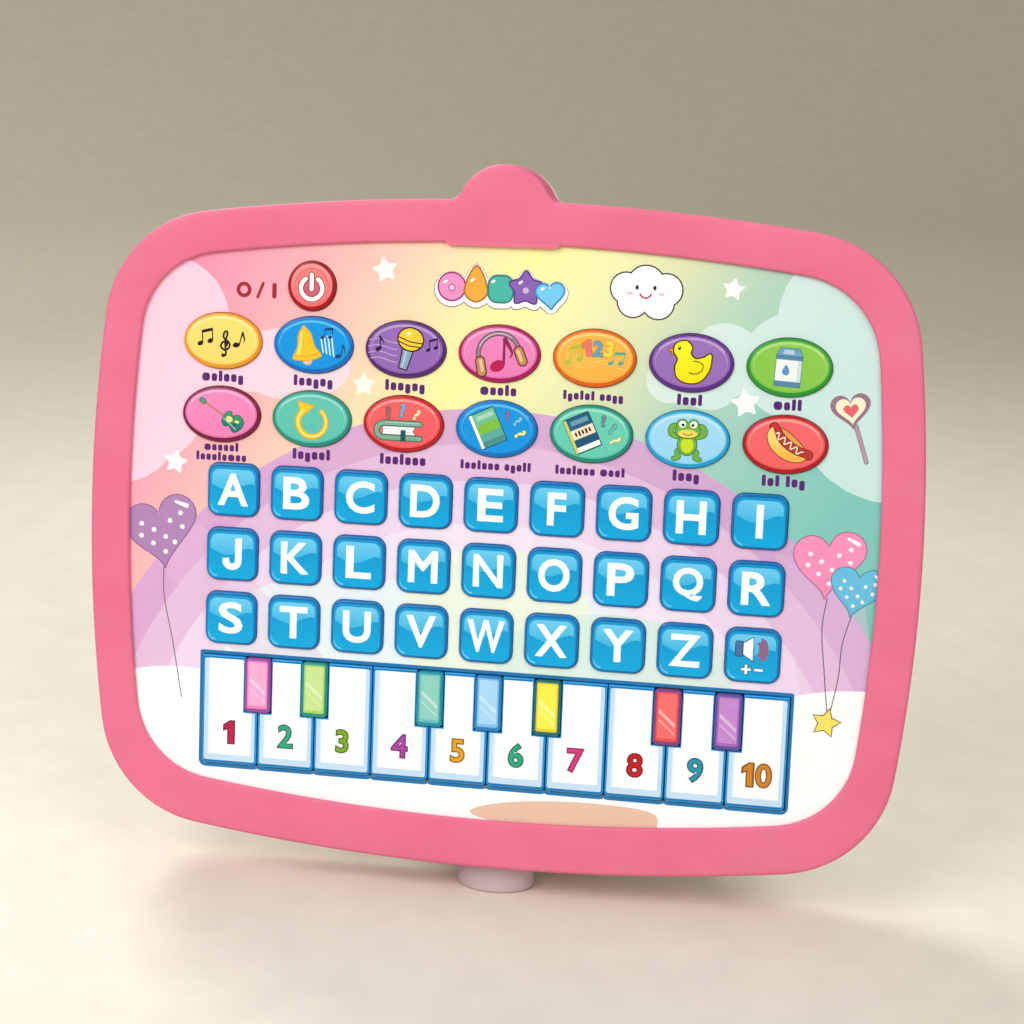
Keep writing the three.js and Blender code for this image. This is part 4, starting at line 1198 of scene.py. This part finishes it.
DIGIT_INKS = [
    (190, 16, 72), (44, 166, 130), (120, 170, 30), (168, 62, 168), (228, 158, 22),
    (34, 166, 124), (214, 52, 128), (196, 12, 32), (30, 146, 172), (206, 128, 30),
]
COLOURED_INKS = {  # the white key each follows: rim, face, light middle
    1: ((150, 74, 160), (244, 128, 192), (252, 170, 214)),
    2: ((34, 142, 132), (168, 214, 96), (200, 226, 148)),
    4: ((24, 138, 164), (96, 190, 186), (142, 206, 194)),
    5: ((36, 126, 192), (118, 190, 242), (168, 214, 248)),
    6: ((24, 106, 108), (232, 204, 44), (253, 238, 76)),
    8: ((122, 66, 124), (236, 74, 80), (248, 110, 108)),
    9: ((84, 76, 156), (166, 98, 184), (196, 136, 206)),
}
DIGIT_Y, DIGIT_HEIGHT, DIGIT_STEP = -65, 7.2, 4.6
COLOURED_RAIL_TOP = -38.6


def edge_profile(top, bottom, edge):
    turns = [math.pi / 2 * i / 4 for i in range(1, 5)]
    return [(edge * math.sin(a), top - edge * (1 - math.cos(a))) for a in turns] + [(edge, bottom)]


def white_key_outline(index):
    """A white key's outline, with a notch beside each coloured key, as it is at the edge's inner side."""
    half = WHITE_SLIT / 2
    left = PIANO_LEFT + index * PIANO_PITCH + (KEY_GAP if index == 0 else half)
    right = PIANO_LEFT + (index + 1) * PIANO_PITCH - (KEY_GAP if index == PIANO_KEYS - 1 else half)
    top, bottom = PIANO_TOP - KEY_GAP, PIANO_BOTTOM + KEY_GAP
    depth = COLOURED_WIDTH / 2 + PRINT_GAP - half
    notch = top - COLOURED_LENGTH - PRINT_GAP
    radius = 1.2
    points = arc_points(left + radius, bottom + radius, radius, math.pi, 1.5 * math.pi, 4)
    points += arc_points(right - radius, bottom + radius, radius, -math.pi / 2, 0, 4)
    if index + 1 in COLOURED_INKS:
        points += [(right, notch), (right - depth, notch), (right - depth, top)]
    else:
        points.append((right, top))
    if index in COLOURED_INKS:
        points += [(left + depth, top), (left + depth, notch), (left, notch)]
    else:
        points.append((left, top))
    return points


def rail(bm, x0, x1, y0, y1, bottom):
    """A bar that joins keys below their tops. It shows only in the slits, in the slit blue that is painted lighter
    against the shade in them.
    """
    sheet = Sheet(box_outline(x0, x1, y0, y1))
    sheet.ink(SLIT_BLUE_PAINTED_LIGHTER, grown(sheet.outline, 0.1))
    print_solid(bm, sheet, RAIL_TOP, [(0, bottom)], SLIT_BLUE_PAINTED_LIGHTER)


def white_keys():
    edge = 0.35
    bm = bmesh.new()
    for index in range(PIANO_KEYS):
        outline = white_key_outline(index)
        xs = [p[0] for p in outline]
        left, right, low = min(xs), max(xs), min(p[1] for p in outline)
        sheet = Sheet(grown(outline, -edge))
        sheet.ink(LINE_BLUE, grown(outline, 0.2))
        sheet.ink((196, 222, 246), box_outline(left + 0.6, right - 0.6, low + 1.0, PIANO_TOP - 1.2, 0.6))
        sheet.ink(WHITE, box_outline(left + 1.9, right - 1.9, low + 3.0, PIANO_TOP - 1.2, 0.2))
        sheet.ink((226, 238, 250), box_outline(left + 1.9, left + 2.5, low + 3.0, PIANO_TOP - 1.2, 0.1))
        ink, x = DIGIT_INKS[index], (left + right) / 2
        digits = str(index + 1)
        for place, digit in enumerate(digits):
            shift = x + DIGIT_STEP * (place - (len(digits) - 1) / 2)
            write(sheet, mixed(ink, BLACK, 0.5), digit, DIGIT_HEIGHT + 0.5, shift, DIGIT_Y, 0.5)
            write(sheet, ink, digit, DIGIT_HEIGHT - 0.3, shift, DIGIT_Y, 0.1)
        # The key sides take the slit blue, painted lighter against the shade in the slits.
        print_solid(bm, sheet, WHITE_TOP, edge_profile(WHITE_TOP, WHITE_BOTTOM, edge), SLIT_BLUE_PAINTED_LIGHTER)
    rail(bm, PIANO_LEFT + KEY_GAP, PIANO_LEFT + PIANO_KEYS * PIANO_PITCH - KEY_GAP, -79, -74.9, -3.4)
    return to_object("white_keys_printed", plain_mesh(bm, "white_keys"), KEY_PRINT)


def coloured_keys():
    bm = bmesh.new()
    top = PIANO_TOP - KEY_GAP
    for after, (rim, face, light) in COLOURED_INKS.items():
        x = PIANO_LEFT + after * PIANO_PITCH
        middle_y = top - COLOURED_LENGTH / 2
        sheet = Sheet(rounded_box(x, middle_y, COLOURED_WIDTH - 1.2, COLOURED_LENGTH - 1.2, 0.7))
        sheet.ink(rim, grown(sheet.outline, 0.01))
        sheet.ink(face, rounded_box(x, middle_y + 0.3, COLOURED_WIDTH - 1.7, COLOURED_LENGTH - 2.0, 0.6))
        sheet.ink(light, rounded_box(x, middle_y + 0.5, COLOURED_WIDTH - 2.7, COLOURED_LENGTH - 3.4, 0.3))
        for start, width in ((1.4, 1.3), (-0.9, 0.5)):
            glint = [(x - 2.5, middle_y + start), (x - 2.5, middle_y + start + width),
                     (x + 2.5, middle_y + start + width - 4.4), (x + 2.5, middle_y + start - 4.4)]
            sheet.ink(WHITE, glint[::-1], alpha=0.32)
        print_solid(bm, sheet, COLOURED_TOP, edge_profile(COLOURED_TOP, COLOURED_BOTTOM, 0.6), rim)
        rail(bm, x - COLOURED_NECK / 2, x + COLOURED_NECK / 2, top - 1, COLOURED_RAIL_TOP, COLOURED_BOTTOM)
    centres = [PIANO_LEFT + after * PIANO_PITCH for after in COLOURED_INKS]
    half = COLOURED_WIDTH / 2
    rail(bm, min(centres) - half, max(centres) + half, -40.4, COLOURED_RAIL_TOP, COLOURED_BOTTOM)
    return to_object("coloured_keys_printed", plain_mesh(bm, "coloured_keys"), KEY_PRINT)


stands_for(white_keys(), "white_key_comb")
stands_for(coloured_keys(), "coloured_key_comb")

# ---------------------------------------------------------------- the panel's print


def pale_clouds(sheet):
    left = [circle(-102.7, 61.5, 19.5), circle(-110, 38, 20.5), circle(-118, 31, 20),
            ellipse(-64, 50, 19, 10.8),
            box_outline(-104, -66, 41, 59)]
    sheet.ink((254, 224, 244), *left, alpha=0.72)
    right = [circle(103, 70, 22), circle(86.5, 56.5, 15.5), circle(66.5, 57, 11), circle(62.5, 51.5, 9),
             circle(50.5, 50.5, 6.5), box_outline(50.5, 66, 44, 55), circle(117, 49, 31)]
    sheet.ink((226, 244, 244), *right, alpha=0.66)


ARCH = (0, -94)
HILL_INK = (254, 254, 254)


def arch(sheet):
    bands = ((133.5, (212, 162, 212), 0.92), (123, (226, 188, 222), 1), (112, (236, 212, 238), 1),
             (99, (240, 226, 244), 1), (86, (232, 238, 250), 1))
    for radius, ink, alpha in bands:
        sheet.ink(ink, circle(*ARCH, radius, 120), alpha=alpha)
    sheet.ink((226, 244, 246), ellipse(-48, -34, 36, 20), alpha=0.7)
    sheet.ink((236, 246, 218), ellipse(2, -26, 30, 24), alpha=0.72)
    sheet.ink((208, 236, 224), ellipse(38, -36, 36, 16), alpha=0.7)
    slants = ([(-70, -50), (-40, -50), (-92, 0), (-106, -12)], [(96, -50), (116, -40), (110, -8), (84, 2)])
    for slant in slants:
        sheet.ink((226, 186, 222), slant, alpha=0.35)
    hills = [ellipse(-96, -92, 60, 46.5), ellipse(112, -88, 60, 50.5), ellipse(0, -100, 120, 55)]
    sheet.ink(HILL_INK, *hills)


CAPTION_BLOCKS = {"l": (1.15, 3.3, 0), "s": (1.75, 2.4, 0), "p": (1.6, 2.9, -0.8), "m": (2.5, 2.5, 0)}


def label(sheet, x, y, marks, size=1.0):
    """A letterless caption: a row of round-cornered blocks, tall, short, hanging or wide."""
    blocks, along = [], 0
    for mark in marks:
        if mark == " ":
            along += 1.4 * size
            continue
        width, height, low = (value * size for value in CAPTION_BLOCKS[mark])
        blocks.append((along + width / 2, low + height / 2, width, height))
        along += width + 0.5 * size
    shift = x - (along - 0.5 * size) / 2
    sheet.ink(LABEL, *[
        rounded_box(shift + bx, y + by, width, height, min(width, height) * 0.38, 0, 3)
        for bx, by, width, height in blocks
    ])


LABELS = {  # blocks of a caption: l tall, s short, p hanging, m wide; a space is a gap
    "melody": ["mslssp"], "bell": ["lsspsp"], "singing": ["lsspsp"], "music": ["mssls"],
    "digits": ["lpslsl sspp"], "duck": ["lssl"], "milk": ["msll"], "guitar": ["mssssl", "lssslsmss"],
    "repeat": ["lspssl"], "question": ["lsslsss"], "spelling": ["lsslsss spsll"], "word": ["lsslsss mssl"],
    "frog": ["lssp"], "hotdog": ["lsl lsp"],
}


def captions(sheet):
    for subject, lines in LABELS.items():
        place = place_of("picture_" + subject)
        size = {"guitar": 0.82, "digits": 0.84, "spelling": 0.84, "word": 0.84}.get(subject, 1)
        for row, marks in enumerate(lines):
            low = place.y - PICTURE_HEIGHT / 2 - (2.8 if len(lines) == 2 else 3.9)
            label(sheet, place.x, low - 3.0 * row, marks, size)
    y = 71.7
    ring = circle(-78.9, y, 1.75, 24)
    sheet.ink(ON_RED, grown(ring, 0.6), grown(ring, -0.55), even_odd=True)
    sheet.ink(ON_RED, ribbon([(-74.6, y - 2.1), (-72.9, y + 2.1)], 0.9))
    sheet.ink(ON_RED, ribbon([(-69.4, y - 1.7), (-69.4, y + 1.7)], 1.4))


def title(sheet):
    """Five bubbly toy shapes in a row, on one white backing."""
    shapes = [
        (circle(-15.0, 75.2, 3.9), (250, 146, 200), (152, 28, 112)),
        (smooth([(-7.7, 81.4), (-4.4, 74.2), (-7.7, 71.2), (-11.0, 74.2)])[::-1], (252, 170, 54),
         (176, 96, 24)),
        (rounded_box(-0.3, 75.0, 7.0, 7.4, 2.4), (66, 182, 164), (30, 118, 118)),
        (smooth(star(7.2, 75.4, 5.0, 0, 0.66)), (134, 92, 182), (84, 48, 132)),
        (heart(14.6, 73.4, 8.2, 6), (112, 202, 246), (34, 128, 190)),
    ]
    sheet.ink((120, 90, 60), *[grown(placed(shape, 0, -0.8), 1.45) for shape, _, _ in shapes])
    sheet.ink(WHITE, *[grown(placed(shape, 0, -0.7), 1.25) for shape, _, _ in shapes])
    for shape, fill, line in shapes:
        sheet.outlined(fill, line, 0.5, shape)
    for x, y in ((-17.0, 76.6), (-8.8, 77.4), (-2.6, 77.2), (5.6, 77.2), (12.2, 75.6)):
        sheet.ink(WHITE, ellipse(x, y, 0.75, 0.38, 35, 12))
    sheet.ink((204, 180, 226), circle(7.2, 74.9, 0.9, 14))
    sheet.ink((152, 28, 112), circle(-15.0, 74.9, 1.1, 14))
    sheet.ink((255, 206, 230), circle(-15.0, 74.9, 0.8, 14))


def smiling_cloud(sheet):
    lobes = [circle(42.6, 78.2, 5.3), circle(36.8, 76.9, 4.4), circle(48.6, 76.7, 4.6),
             circle(39.0, 73.0, 4.4),
             circle(46.4, 72.8, 4.5), circle(42.6, 75.2, 4.8)]
    sheet.ink((40, 38, 40), *[grown(lobe, 0.42) for lobe in lobes])
    sheet.ink((254, 254, 255), *lobes)
    sheet.ink((40, 34, 36), *[ellipse(x, 77.2, 0.5, 0.7, 0, 14) for x in (40.0, 45.2)])
    smile = arc(42.6, 75.9, 1.7, 200, 340, 10)
    sheet.ink((196, 30, 84), ribbon(smile, 0.5))
    sheet.ink((250, 196, 206), *[ellipse(x, 75.4, 0.9, 0.5, 0, 14) for x in (38.0, 47.2)])


def sparkles(sheet):
    for x, y, radius, turn, alpha in (
        (-35.4, 79.3, 3.9, 12, 0.95), (68, 77.8, 3.4, -8, 0.9), (73.2, 45.1, 4.4, 10, 0.92),
        (-99.6, 18.3, 3.8, -10, 0.9), (-40.9, 44.8, 3.6, 0, 0.75), (-11.9, -5.1, 2.6, 0, 0.4),
    ):
        rounded = smooth(star(x, y, radius, turn, 0.56), True, 3)
        sheet.ink(WHITE, rounded, alpha=alpha)


HEART_DOTS = [(-0.27, 0.2), (-0.32, 0.05), (-0.13, 0.08), (0.0, -0.05), (0.12, 0.14), (0.29, 0.2),
              (0.26, 0.02),
              (-0.19, -0.09), (0.1, -0.15), (-0.06, -0.24)]


def balloon(sheet, x, y, width, turn, lean, fill, line, string):
    """A dotted heart on a thin string."""
    sheet.ink((112, 92, 112), ribbon(smooth(string, False, 6), 0.32))
    shape = heart(x, y, width, turn, lean)
    sheet.outlined(fade(mixed(fill, line, 0.12), fill, y - width / 2, y), line, 0.3, shape)
    dots = [placed(circle(dx * width, dy * width, 0.034 * width, 10), x, y, turn) for dx, dy in HEART_DOTS]
    sheet.ink((250, 238, 246), *dots)
    shine = [(0.27 * width, 0.36 * width), (0.4 * width, 0.27 * width)]
    sheet.ink(WHITE, placed(ribbon(shine, 0.035 * width, 0.06 * width), x, y, turn))


def balloons(sheet):
    balloon(sheet, -102.8, -4.0, 23.4, 18, 0.24, (174, 130, 182), (122, 84, 140),
            [(-102.9, -14.5), (-102.6, -24), (-99.6, -38), (-96.5, -55.2)])
    balloon(sheet, 100.6, -1.1, 21, 9, 0.28, (246, 142, 188), (150, 98, 134),
            [(99.9, -10.5), (98.9, -20), (100.2, -32), (101.9, -46)])
    balloon(sheet, 108.6, -8.6, 16, -4, 0.16, (98, 188, 226), (70, 130, 160),
            [(107.4, -14.5), (105, -24), (104.4, -34), (102.4, -46)])
    sheet.outlined((252, 224, 100), (96, 84, 44), 0.35, star(101.6, -47.7, 4.2, -12, 0.5))
    stick = ribbon([(105.2, 40), (108.7, 29.8)], 0.9)
    sheet.outlined((186, 150, 166), (120, 88, 108), 0.2, stick)
    sheet.ink((150, 112, 136), heart(103.6, 44.0, 11.6, 10))
    sheet.ink((253, 238, 208), heart(103.6, 44.2, 8.6, 10))
    sheet.ink((228, 100, 108), heart(103.6, 44.2, 4.4, 10))


def key_panel():
    slit = PRINT_GAP
    side = LETTER_SIDE + 2 * slit
    holes = [
        rounded_box(*place_of("key_" + name).xy, side, side, LETTER_CORNER + slit)
        for name in [*"abcdefghijklmnopqrstuvwxyz", "volume"]
    ]
    holes += [
        ellipse(*place_of("picture_" + name).xy, PICTURE_WIDTH / 2 + slit, PICTURE_HEIGHT / 2 + slit, 0, 56)
        for name in PICTURES
    ]
    holes.append(circle(*place_of("power_button").xy, POWER_RADIUS + slit, 48))
    right = PIANO_LEFT + PIANO_KEYS * PIANO_PITCH
    holes.append(box_outline(PIANO_LEFT, right, PIANO_BOTTOM, PIANO_TOP))
    sheet = Sheet(window_loop(inset=-PANEL_OVERLAP), holes)
    pale_clouds(sheet)
    arch(sheet)
    balloons(sheet)
    sparkles(sheet)
    patch = smooth([(-4, -83.6), (6, -80.2), (24, -78.3), (42, -78.2), (52, -79.6), (53.5, -83),
                    (50, -86.5),
                    (24, -87.4), (4, -86.2)])
    sheet.ink((228, 184, 160), patch, alpha=0.92)
    under_keys = [
        box_outline(left - 0.9, left + PIANO_PITCH + 0.9, PIANO_BOTTOM - 1.1, PIANO_BOTTOM + 9, 2.2)
        for left in (PIANO_LEFT + index * PIANO_PITCH for index in range(PIANO_KEYS))
    ]
    surround = box_outline(PIANO_LEFT - 0.9, right + 0.9, PIANO_BOTTOM + 0.3, PIANO_TOP + 1.1, 0.8)
    sheet.ink(LINE_BLUE, surround, *under_keys)
    title(sheet)
    smiling_cloud(sheet)
    captions(sheet)
    return printed_piece("key_panel_printed", sheet, 0, [(0, PANEL_BACK)], (236, 236, 232), PANEL_PRINT)


stands_for(key_panel(), "key_panel")

# ---------------------------------------------------------------- the pink frame


def front_frame():
    lip = 0.9
    pocket = window_loop(inset=-PANEL_OVERLAP - GAP)
    skirt = board_loop(inset=SKIRT)
    outside = [at_height(board_loop(inset=0), FRAME_BACK)]
    outside += [at_height(board_loop(inset=i), z) for i, z in rounding(FRAME_ROUND, FRAME_FRONT, 0, 6)]
    opening = [at_height(window_loop(inset=-i), z) for i, z in reversed(rounding(lip, FRAME_FRONT, 0, 4))]
    opening += [
        at_height(window_loop(inset=0), GAP), at_height(pocket, GAP), at_height(pocket, SHELF),
    ]
    bm = bmesh.new()
    add_rings(bm, outside, False)
    add_rings(bm, opening, False)
    add_rings(bm, [at_height(skirt, SHELF), at_height(skirt, FRAME_BACK)], False)
    flat_between(bm, board_loop(inset=FRAME_ROUND), window_loop(inset=-lip), FRAME_FRONT)
    flat_between(bm, skirt, pocket, SHELF)
    flat_between(bm, board_loop(inset=0), skirt, FRAME_BACK)
    bmesh.ops.remove_doubles(bm, verts=bm.verts, dist=1e-3)
    top = WINDOW_Y + WINDOW_SHAPE["height"] / 2
    half = TAB_LIP["width"] / 2
    low = top - TAB_LIP["drop"]
    foot = half - TAB_LIP["slant"]
    notch = [(half, top + 1), (-half, top + 1), (-foot, low), (foot, low)]
    prism(bm, notch, GAP, FRAME_FRONT - 0.1)
    for name in ("case_screw_left", "case_screw_right"):
        place = place_of(name)
        rod(bm, SCREW_POST, place.x, place.y, FRAME_BACK, SHELF + 1)
    return to_object("front_frame_moulded", mesh_of(bm, "front_frame"), PINK_PLASTIC)


stands_for(front_frame(), "front_frame")

# ---------------------------------------------------------------- rear shell, foot and prop


def shell_tray(bm):
    inset = GAP
    rings = [at_height(board_loop(inset=inset + SHELL_WALL), SHELL_FLOOR),
             at_height(board_loop(inset=inset + SHELL_WALL), SHELL_FRONT),
             at_height(board_loop(inset=inset), SHELL_FRONT)]
    rings += [at_height(board_loop(inset=inset + i), z) for i, z in rounding(SHELL_ROUND, SHELL_BACK, 0, 6)]
    add_rings(bm, rings)


def slot_cut(bm, y):
    place = place_of("speaker")
    half = GRILLE_LENGTH / 2
    outline = rounded_box(place.x, y, 2 * half, GRILLE_WIDTH, GRILLE_WIDTH / 2 - 0.01)
    prism(bm, outline, SHELL_BACK - 1, SHELL_FLOOR + 1)


def rear_shell():
    tray = solid(shell_tray)
    speaker = place_of("speaker")
    added = [solid(block, BAY_LEFT, BAY_RIGHT, BAY_Y - BAY_HALF, BAY_Y + BAY_HALF,
                   SHELL_FLOOR - 0.5, BAY_CEILING + BAY_ROOF)]
    for side in (-1, 1):
        inner, outer = sorted((side * EAR_INNER, side * (EAR_INNER + EAR_THICK)))

        def ear(bm, x0=inner, x1=outer):
            base = [(HINGE.y - EAR_RADIUS, SHELL_BACK + 0.5), (HINGE.y - EAR_RADIUS, HINGE.z)]
            nose = arc_points(HINGE.y, HINGE.z, EAR_RADIUS, math.pi, 2 * math.pi, 16)
            profile = [base[0], *nose, (HINGE.y + EAR_RADIUS, SHELL_BACK + 0.5)]
            drawn_along_x(bm, profile, x0, x1)

        added.append(solid(ear))
    removed = [
        solid(block, -BAY_LENGTH / 2, BAY_LENGTH / 2, BAY_Y - BAY_WIDTH / 2, BAY_Y + BAY_WIDTH / 2,
              SHELL_BACK - 1, BAY_CEILING),
        solid(block, DOOR_LEFT - GAP, DOOR_RIGHT + GAP, BAY_Y - DOOR_HALF - GAP, BAY_Y + DOOR_HALF + GAP,
              SHELL_BACK - 1, DOOR_INNER + GAP, 0.6),
        solid(rod, SCREW_HOLE, place_of("battery_door_screw").x, BAY_Y, SHELL_BACK, DOOR_SCREW_END),
        solid(rod_along_x, PIN_BORE, -PIN_REACH, PIN_REACH, HINGE.y, HINGE.z),
    ]
    for i in range(GRILLE_SLOTS):
        removed.append(solid(slot_cut, speaker.y + (i - (GRILLE_SLOTS - 1) / 2) * GRILLE_PITCH))
    for name in ("case_screw_left", "case_screw_right"):
        place = place_of(name)
        added.append(solid(rod, SCREW_BOSS, place.x, place.y, SHELL_FLOOR - 0.5, SHELL_FRONT))
        removed.append(solid(rod, SCREW_WELL, place.x, place.y, SHELL_BACK - 1, SCREW_SEAT))
        removed.append(solid(rod, SCREW_HOLE, place.x, place.y, SHELL_BACK, SHELL_FRONT + 1))
    return to_object("rear_shell_moulded", combined(tray, added, removed), WHITE_PLASTIC)


stands_for(rear_shell(), "rear_shell")


GRIP_GROOVES, GRIP_PITCH = 5, 2.2


def battery_door():
    def plate(bm):
        outline = box_outline(DOOR_LEFT, DOOR_RIGHT, BAY_Y - DOOR_HALF, BAY_Y + DOOR_HALF, 0.5)
        rings = [at_height(outline, DOOR_INNER)]
        rings += [at_height(grown(outline, -i), z) for i, z in rounding(0.4, SHELL_BACK, 0, 3)]
        add_rings(bm, rings)

    screw = place_of("battery_door_screw")
    removed = [
        solid(rod, 3.0, screw.x, BAY_Y, SHELL_BACK - 1, SHELL_BACK + 1),
        solid(rod, SCREW_HOLE, screw.x, BAY_Y, SHELL_BACK - 1, DOOR_INNER + 1),
        solid(rod, DOOR_NOTCH, DOOR_LEFT - 2, BAY_Y, SHELL_BACK - 0.8, SHELL_BACK + 0.8, 48),
    ]
    for i in range(GRIP_GROOVES):
        x = DOOR_LEFT + 9 + GRIP_PITCH * i
        removed.append(
            solid(block, x - 0.4, x + 0.4, BAY_Y - 6, BAY_Y + 6, SHELL_BACK - 1, SHELL_BACK + 0.35, 0.39)
        )
    mesh = combined(solid(plate), (), removed)
    return to_object("battery_door_moulded", mesh, WHITE_PLASTIC)


stands_for(battery_door(), "battery_door")


def floor_y(z, height=0):
    """Where a line down the board at depth z meets a level height above the floor, both in mm."""
    return (height - ORIGIN.z / MM - OUT.z * z) / UP.z


def foot_post():
    place = place_of("foot_post")
    bm = bmesh.new()
    oval = ellipse(place.x, FOOT_Z, FOOT_WIDTH / 2, FOOT_DEPTH / 2, 0, 48)
    rings = [[(x, FOOT_TOP, z) for x, z in grown(oval, -0.5)], [(x, FOOT_TOP - 0.5, z) for x, z in oval]]
    for inset, height in rounding(1.2, 0, 2, 4):
        rings.append([(x, floor_y(z, height), z) for x, z in grown(oval, -inset)])
    add_rings(bm, rings)
    peg = circle(place.x, PEG_Z, PEG_RADIUS, 24)
    add_rings(bm, [[(x, FOOT_TOP - 1, z) for x, z in peg], [(x, PEG_TOP, z) for x, z in peg]])
    return to_object("foot_post_moulded", mesh_of(bm, "foot_post"), FOOT_PLASTIC_PAINTED_SHADE)


stands_for(foot_post(), "foot_post")


def prop_floor(z, height=0):
    """Where a line down the prop at depth z meets a level height above the floor, both in mm."""
    start = PROP @ Vector((0, 0, z))
    end = PROP @ Vector((0, -1, z))
    return -(start.z / MM - height) / ((start.z - end.z) / MM)


def kickstand():
    half, tip, thick = PROP_WIDTH / 2, PROP_TIP_WIDTH / 2, PROP_THICK / 2

    def plate(bm):
        """The flap: sections from the hinge down to a sole that lies flat on the floor."""
        rings = []
        for y in (0, -10):
            rings.append([(half, y, -thick), (half, y, thick), (-half, y, thick), (-half, y, -thick)])
        rings.append([(tip, prop_floor(z), z) for z in (-thick, thick)]
                     + [(-tip, prop_floor(z), z) for z in (thick, -thick)])
        add_rings(bm, rings)

    def heel(bm):
        block(bm, -half, half, 0, BARREL_HEEL, 0, thick)

    def recess(bm, x0, x1, sign):
        block(bm, x0, x1, -70, -18, sign * thick - 0.7, sign * thick + 0.7, 4)

    removed = [solid(rod_along_x, BARREL_BORE, -half - 1, half + 1, 0, 0)]
    for x0, x1 in ((-36, -2.5), (2.5, 36)):
        removed += [solid(recess, x0, x1, 1), solid(recess, x0, x1, -1)]
    added = [solid(rod_along_x, BARREL_RADIUS, -half, half, 0, 0), solid(heel)]
    mesh = combined(solid(plate), added, removed)
    made = to_object("kickstand_moulded", mesh, WHITE_PLASTIC, PROP)
    edge = made.modifiers.new("edge", "BEVEL")
    edge.width = 0.45 * MM
    edge.segments = 2
    edge.angle_limit = math.radians(50)
    return made


stands_for(kickstand(), "kickstand")


def fine_screw(node, seat, head, depth, shank, tip):
    """A pan-head screw with a cross recess, its head to the back and resting on its seat."""
    place = place_of(node)

    def turned(bm):
        profile = [(head - 0.5, seat - depth), (head - 0.15, seat - depth + 0.2),
                   (head, seat - depth + 0.6),
                   (head, seat), (shank, seat), (shank, tip - 1), (0.2, tip)]
        rings = [at_height(circle(place.x, place.y, r, 32), z) for r, z in profile]
        add_rings(bm, rings)

    bar, reach, top = 0.35, head * 0.6, seat - depth - 1
    floor = seat - depth + min(0.8, depth / 2)
    cuts = [solid(block, place.x - reach, place.x + reach, place.y - bar, place.y + bar, top, floor),
            solid(block, place.x - bar, place.x + bar, place.y - reach, place.y + reach, top, floor)]
    stands_for(to_object(node + "_turned", combined(solid(turned), (), cuts), STEEL), node)


fine_screw("case_screw_left", SCREW_SEAT, 2.9, 2, 1.4, -4)
fine_screw("case_screw_right", SCREW_SEAT, 2.9, 2, 1.4, -4)
fine_screw("battery_door_screw", SHELL_BACK + 1, 2.7, 0.9, 1.3, -13.5)

# ---------------------------------------------------------------- CAD pieces that stay

KEPT = {
    "keypad_mat": SILICONE, "circuit_board": LAMINATE, "speaker": DRIVER, "battery_bridge_contact": STEEL,
    "battery_1": CELL, "battery_2": CELL, "kickstand_pin": STEEL,
}
for node, material in KEPT.items():
    mesh = frame["nodes"][node].data
    mesh.materials.clear()
    mesh.materials.append(material)

# ---------------------------------------------------------------- stage, light and camera


def floor_material():
    """A pale floor with a painted pool of light round the toy: its colour deepens to a warm grey away from it."""
    nodes = Nodes("floor_painted_light_pool")
    reach = nodes.add("ShaderNodeVectorMath", operation="LENGTH")
    nodes.link(nodes.place(), reach.inputs[0])
    # Painted light: the floor is painted pale near the toy and darker, to a warm grey, from 120 mm to 900 mm away.
    share = nodes.share(reach.outputs["Value"], 120, 900, interpolation_type="SMOOTHSTEP")
    patch = nodes.ranged(nodes.noise(0.004, 3), 0, 1)
    pale = nodes.mix(patch, rgb(232, 226, 214), rgb(224, 218, 204))
    return nodes.finish(nodes.mix(share, pale, rgb(168, 162, 146)), (0.55, 0.7), 0.1, 0.05)


def stage_floor():
    """A round floor that sweeps up into a wall all round."""
    radius, bend, height = 1300, 700, 1900
    profile = [(radius + bend * math.sin(a), bend * (1 - math.cos(a)))
               for a in (math.pi / 2 * i / 16 for i in range(17))]
    rings = [at_height(circle(0, 0, r, 96), z) for r, z in [*profile, (radius + bend, height)]]
    outer = [at_height(circle(0, 0, radius + bend + 8, 96), z) for z in (height, -8)]
    bm = bmesh.new()
    add_rings(bm, rings + outer, False)
    for z, ring in ((0, rings[0]), (-8, outer[-1])):
        bm.faces.new([bm.verts.new(p) for p in ring])
    bmesh.ops.remove_doubles(bm, verts=bm.verts, dist=1e-3)
    made = to_object("floor", mesh_of(bm, "floor"), floor_material(), Matrix.Scale(MM, 4))


def soft_light(name, place, size, power, colour):
    """An area light that points at the middle of the board."""
    lamp = bpy.data.lights.new(name, "AREA")
    lamp.size = size
    lamp.energy = power
    lamp.color = colour
    holder = bpy.data.objects.new(name, lamp)
    holder.location = place
    holder.rotation_euler = (ORIGIN - Vector(place)).to_track_quat("-Z", "Y").to_euler()
    bpy.context.scene.collection.objects.link(holder)


def camera():
    """The main view, given in the board's frame: place in mm, then yaw, rise and roll in degrees."""
    place, yaw, rise, roll = (106.0, 87.7, 580.5), 9.81, 7.6, 2.2
    turn = (
        Matrix.Rotation(math.radians(yaw), 4, "Y") @ Matrix.Rotation(math.radians(-rise), 4, "X")
        @ Matrix.Rotation(math.radians(roll), 4, "Z")
    )
    lens = bpy.data.cameras.new("camera")
    lens.lens = 70
    lens.sensor_width = 36
    holder = bpy.data.objects.new("camera", lens)
    holder.matrix_world = Matrix.Translation(BOARD @ Vector(place)) @ TURN.to_4x4() @ turn
    bpy.context.scene.collection.objects.link(holder)
    bpy.context.scene.camera = holder


stage_floor()
soft_light("key", (-0.8, -1.1, 1.2), 1.0, 17.5, (1, 1, 1))
soft_light("fill", (1.05, -1.1, 1.15), 1.2, 12, (0.97, 0.99, 1))
soft_light("back", (-0.9, 1.0, 1.3), 0.6, 16, (1, 0.98, 0.94))
camera()

world = bpy.data.worlds.new("studio")
world.use_nodes = True
world.node_tree.nodes["Background"].inputs["Color"].default_value = (*rgb(221, 222, 222), 1)
world.node_tree.nodes["Background"].inputs["Strength"].default_value = 0.75
bpy.context.scene.world = world
bpy.context.scene.view_settings.view_transform = "Standard"

bpy.context.view_layer.update()
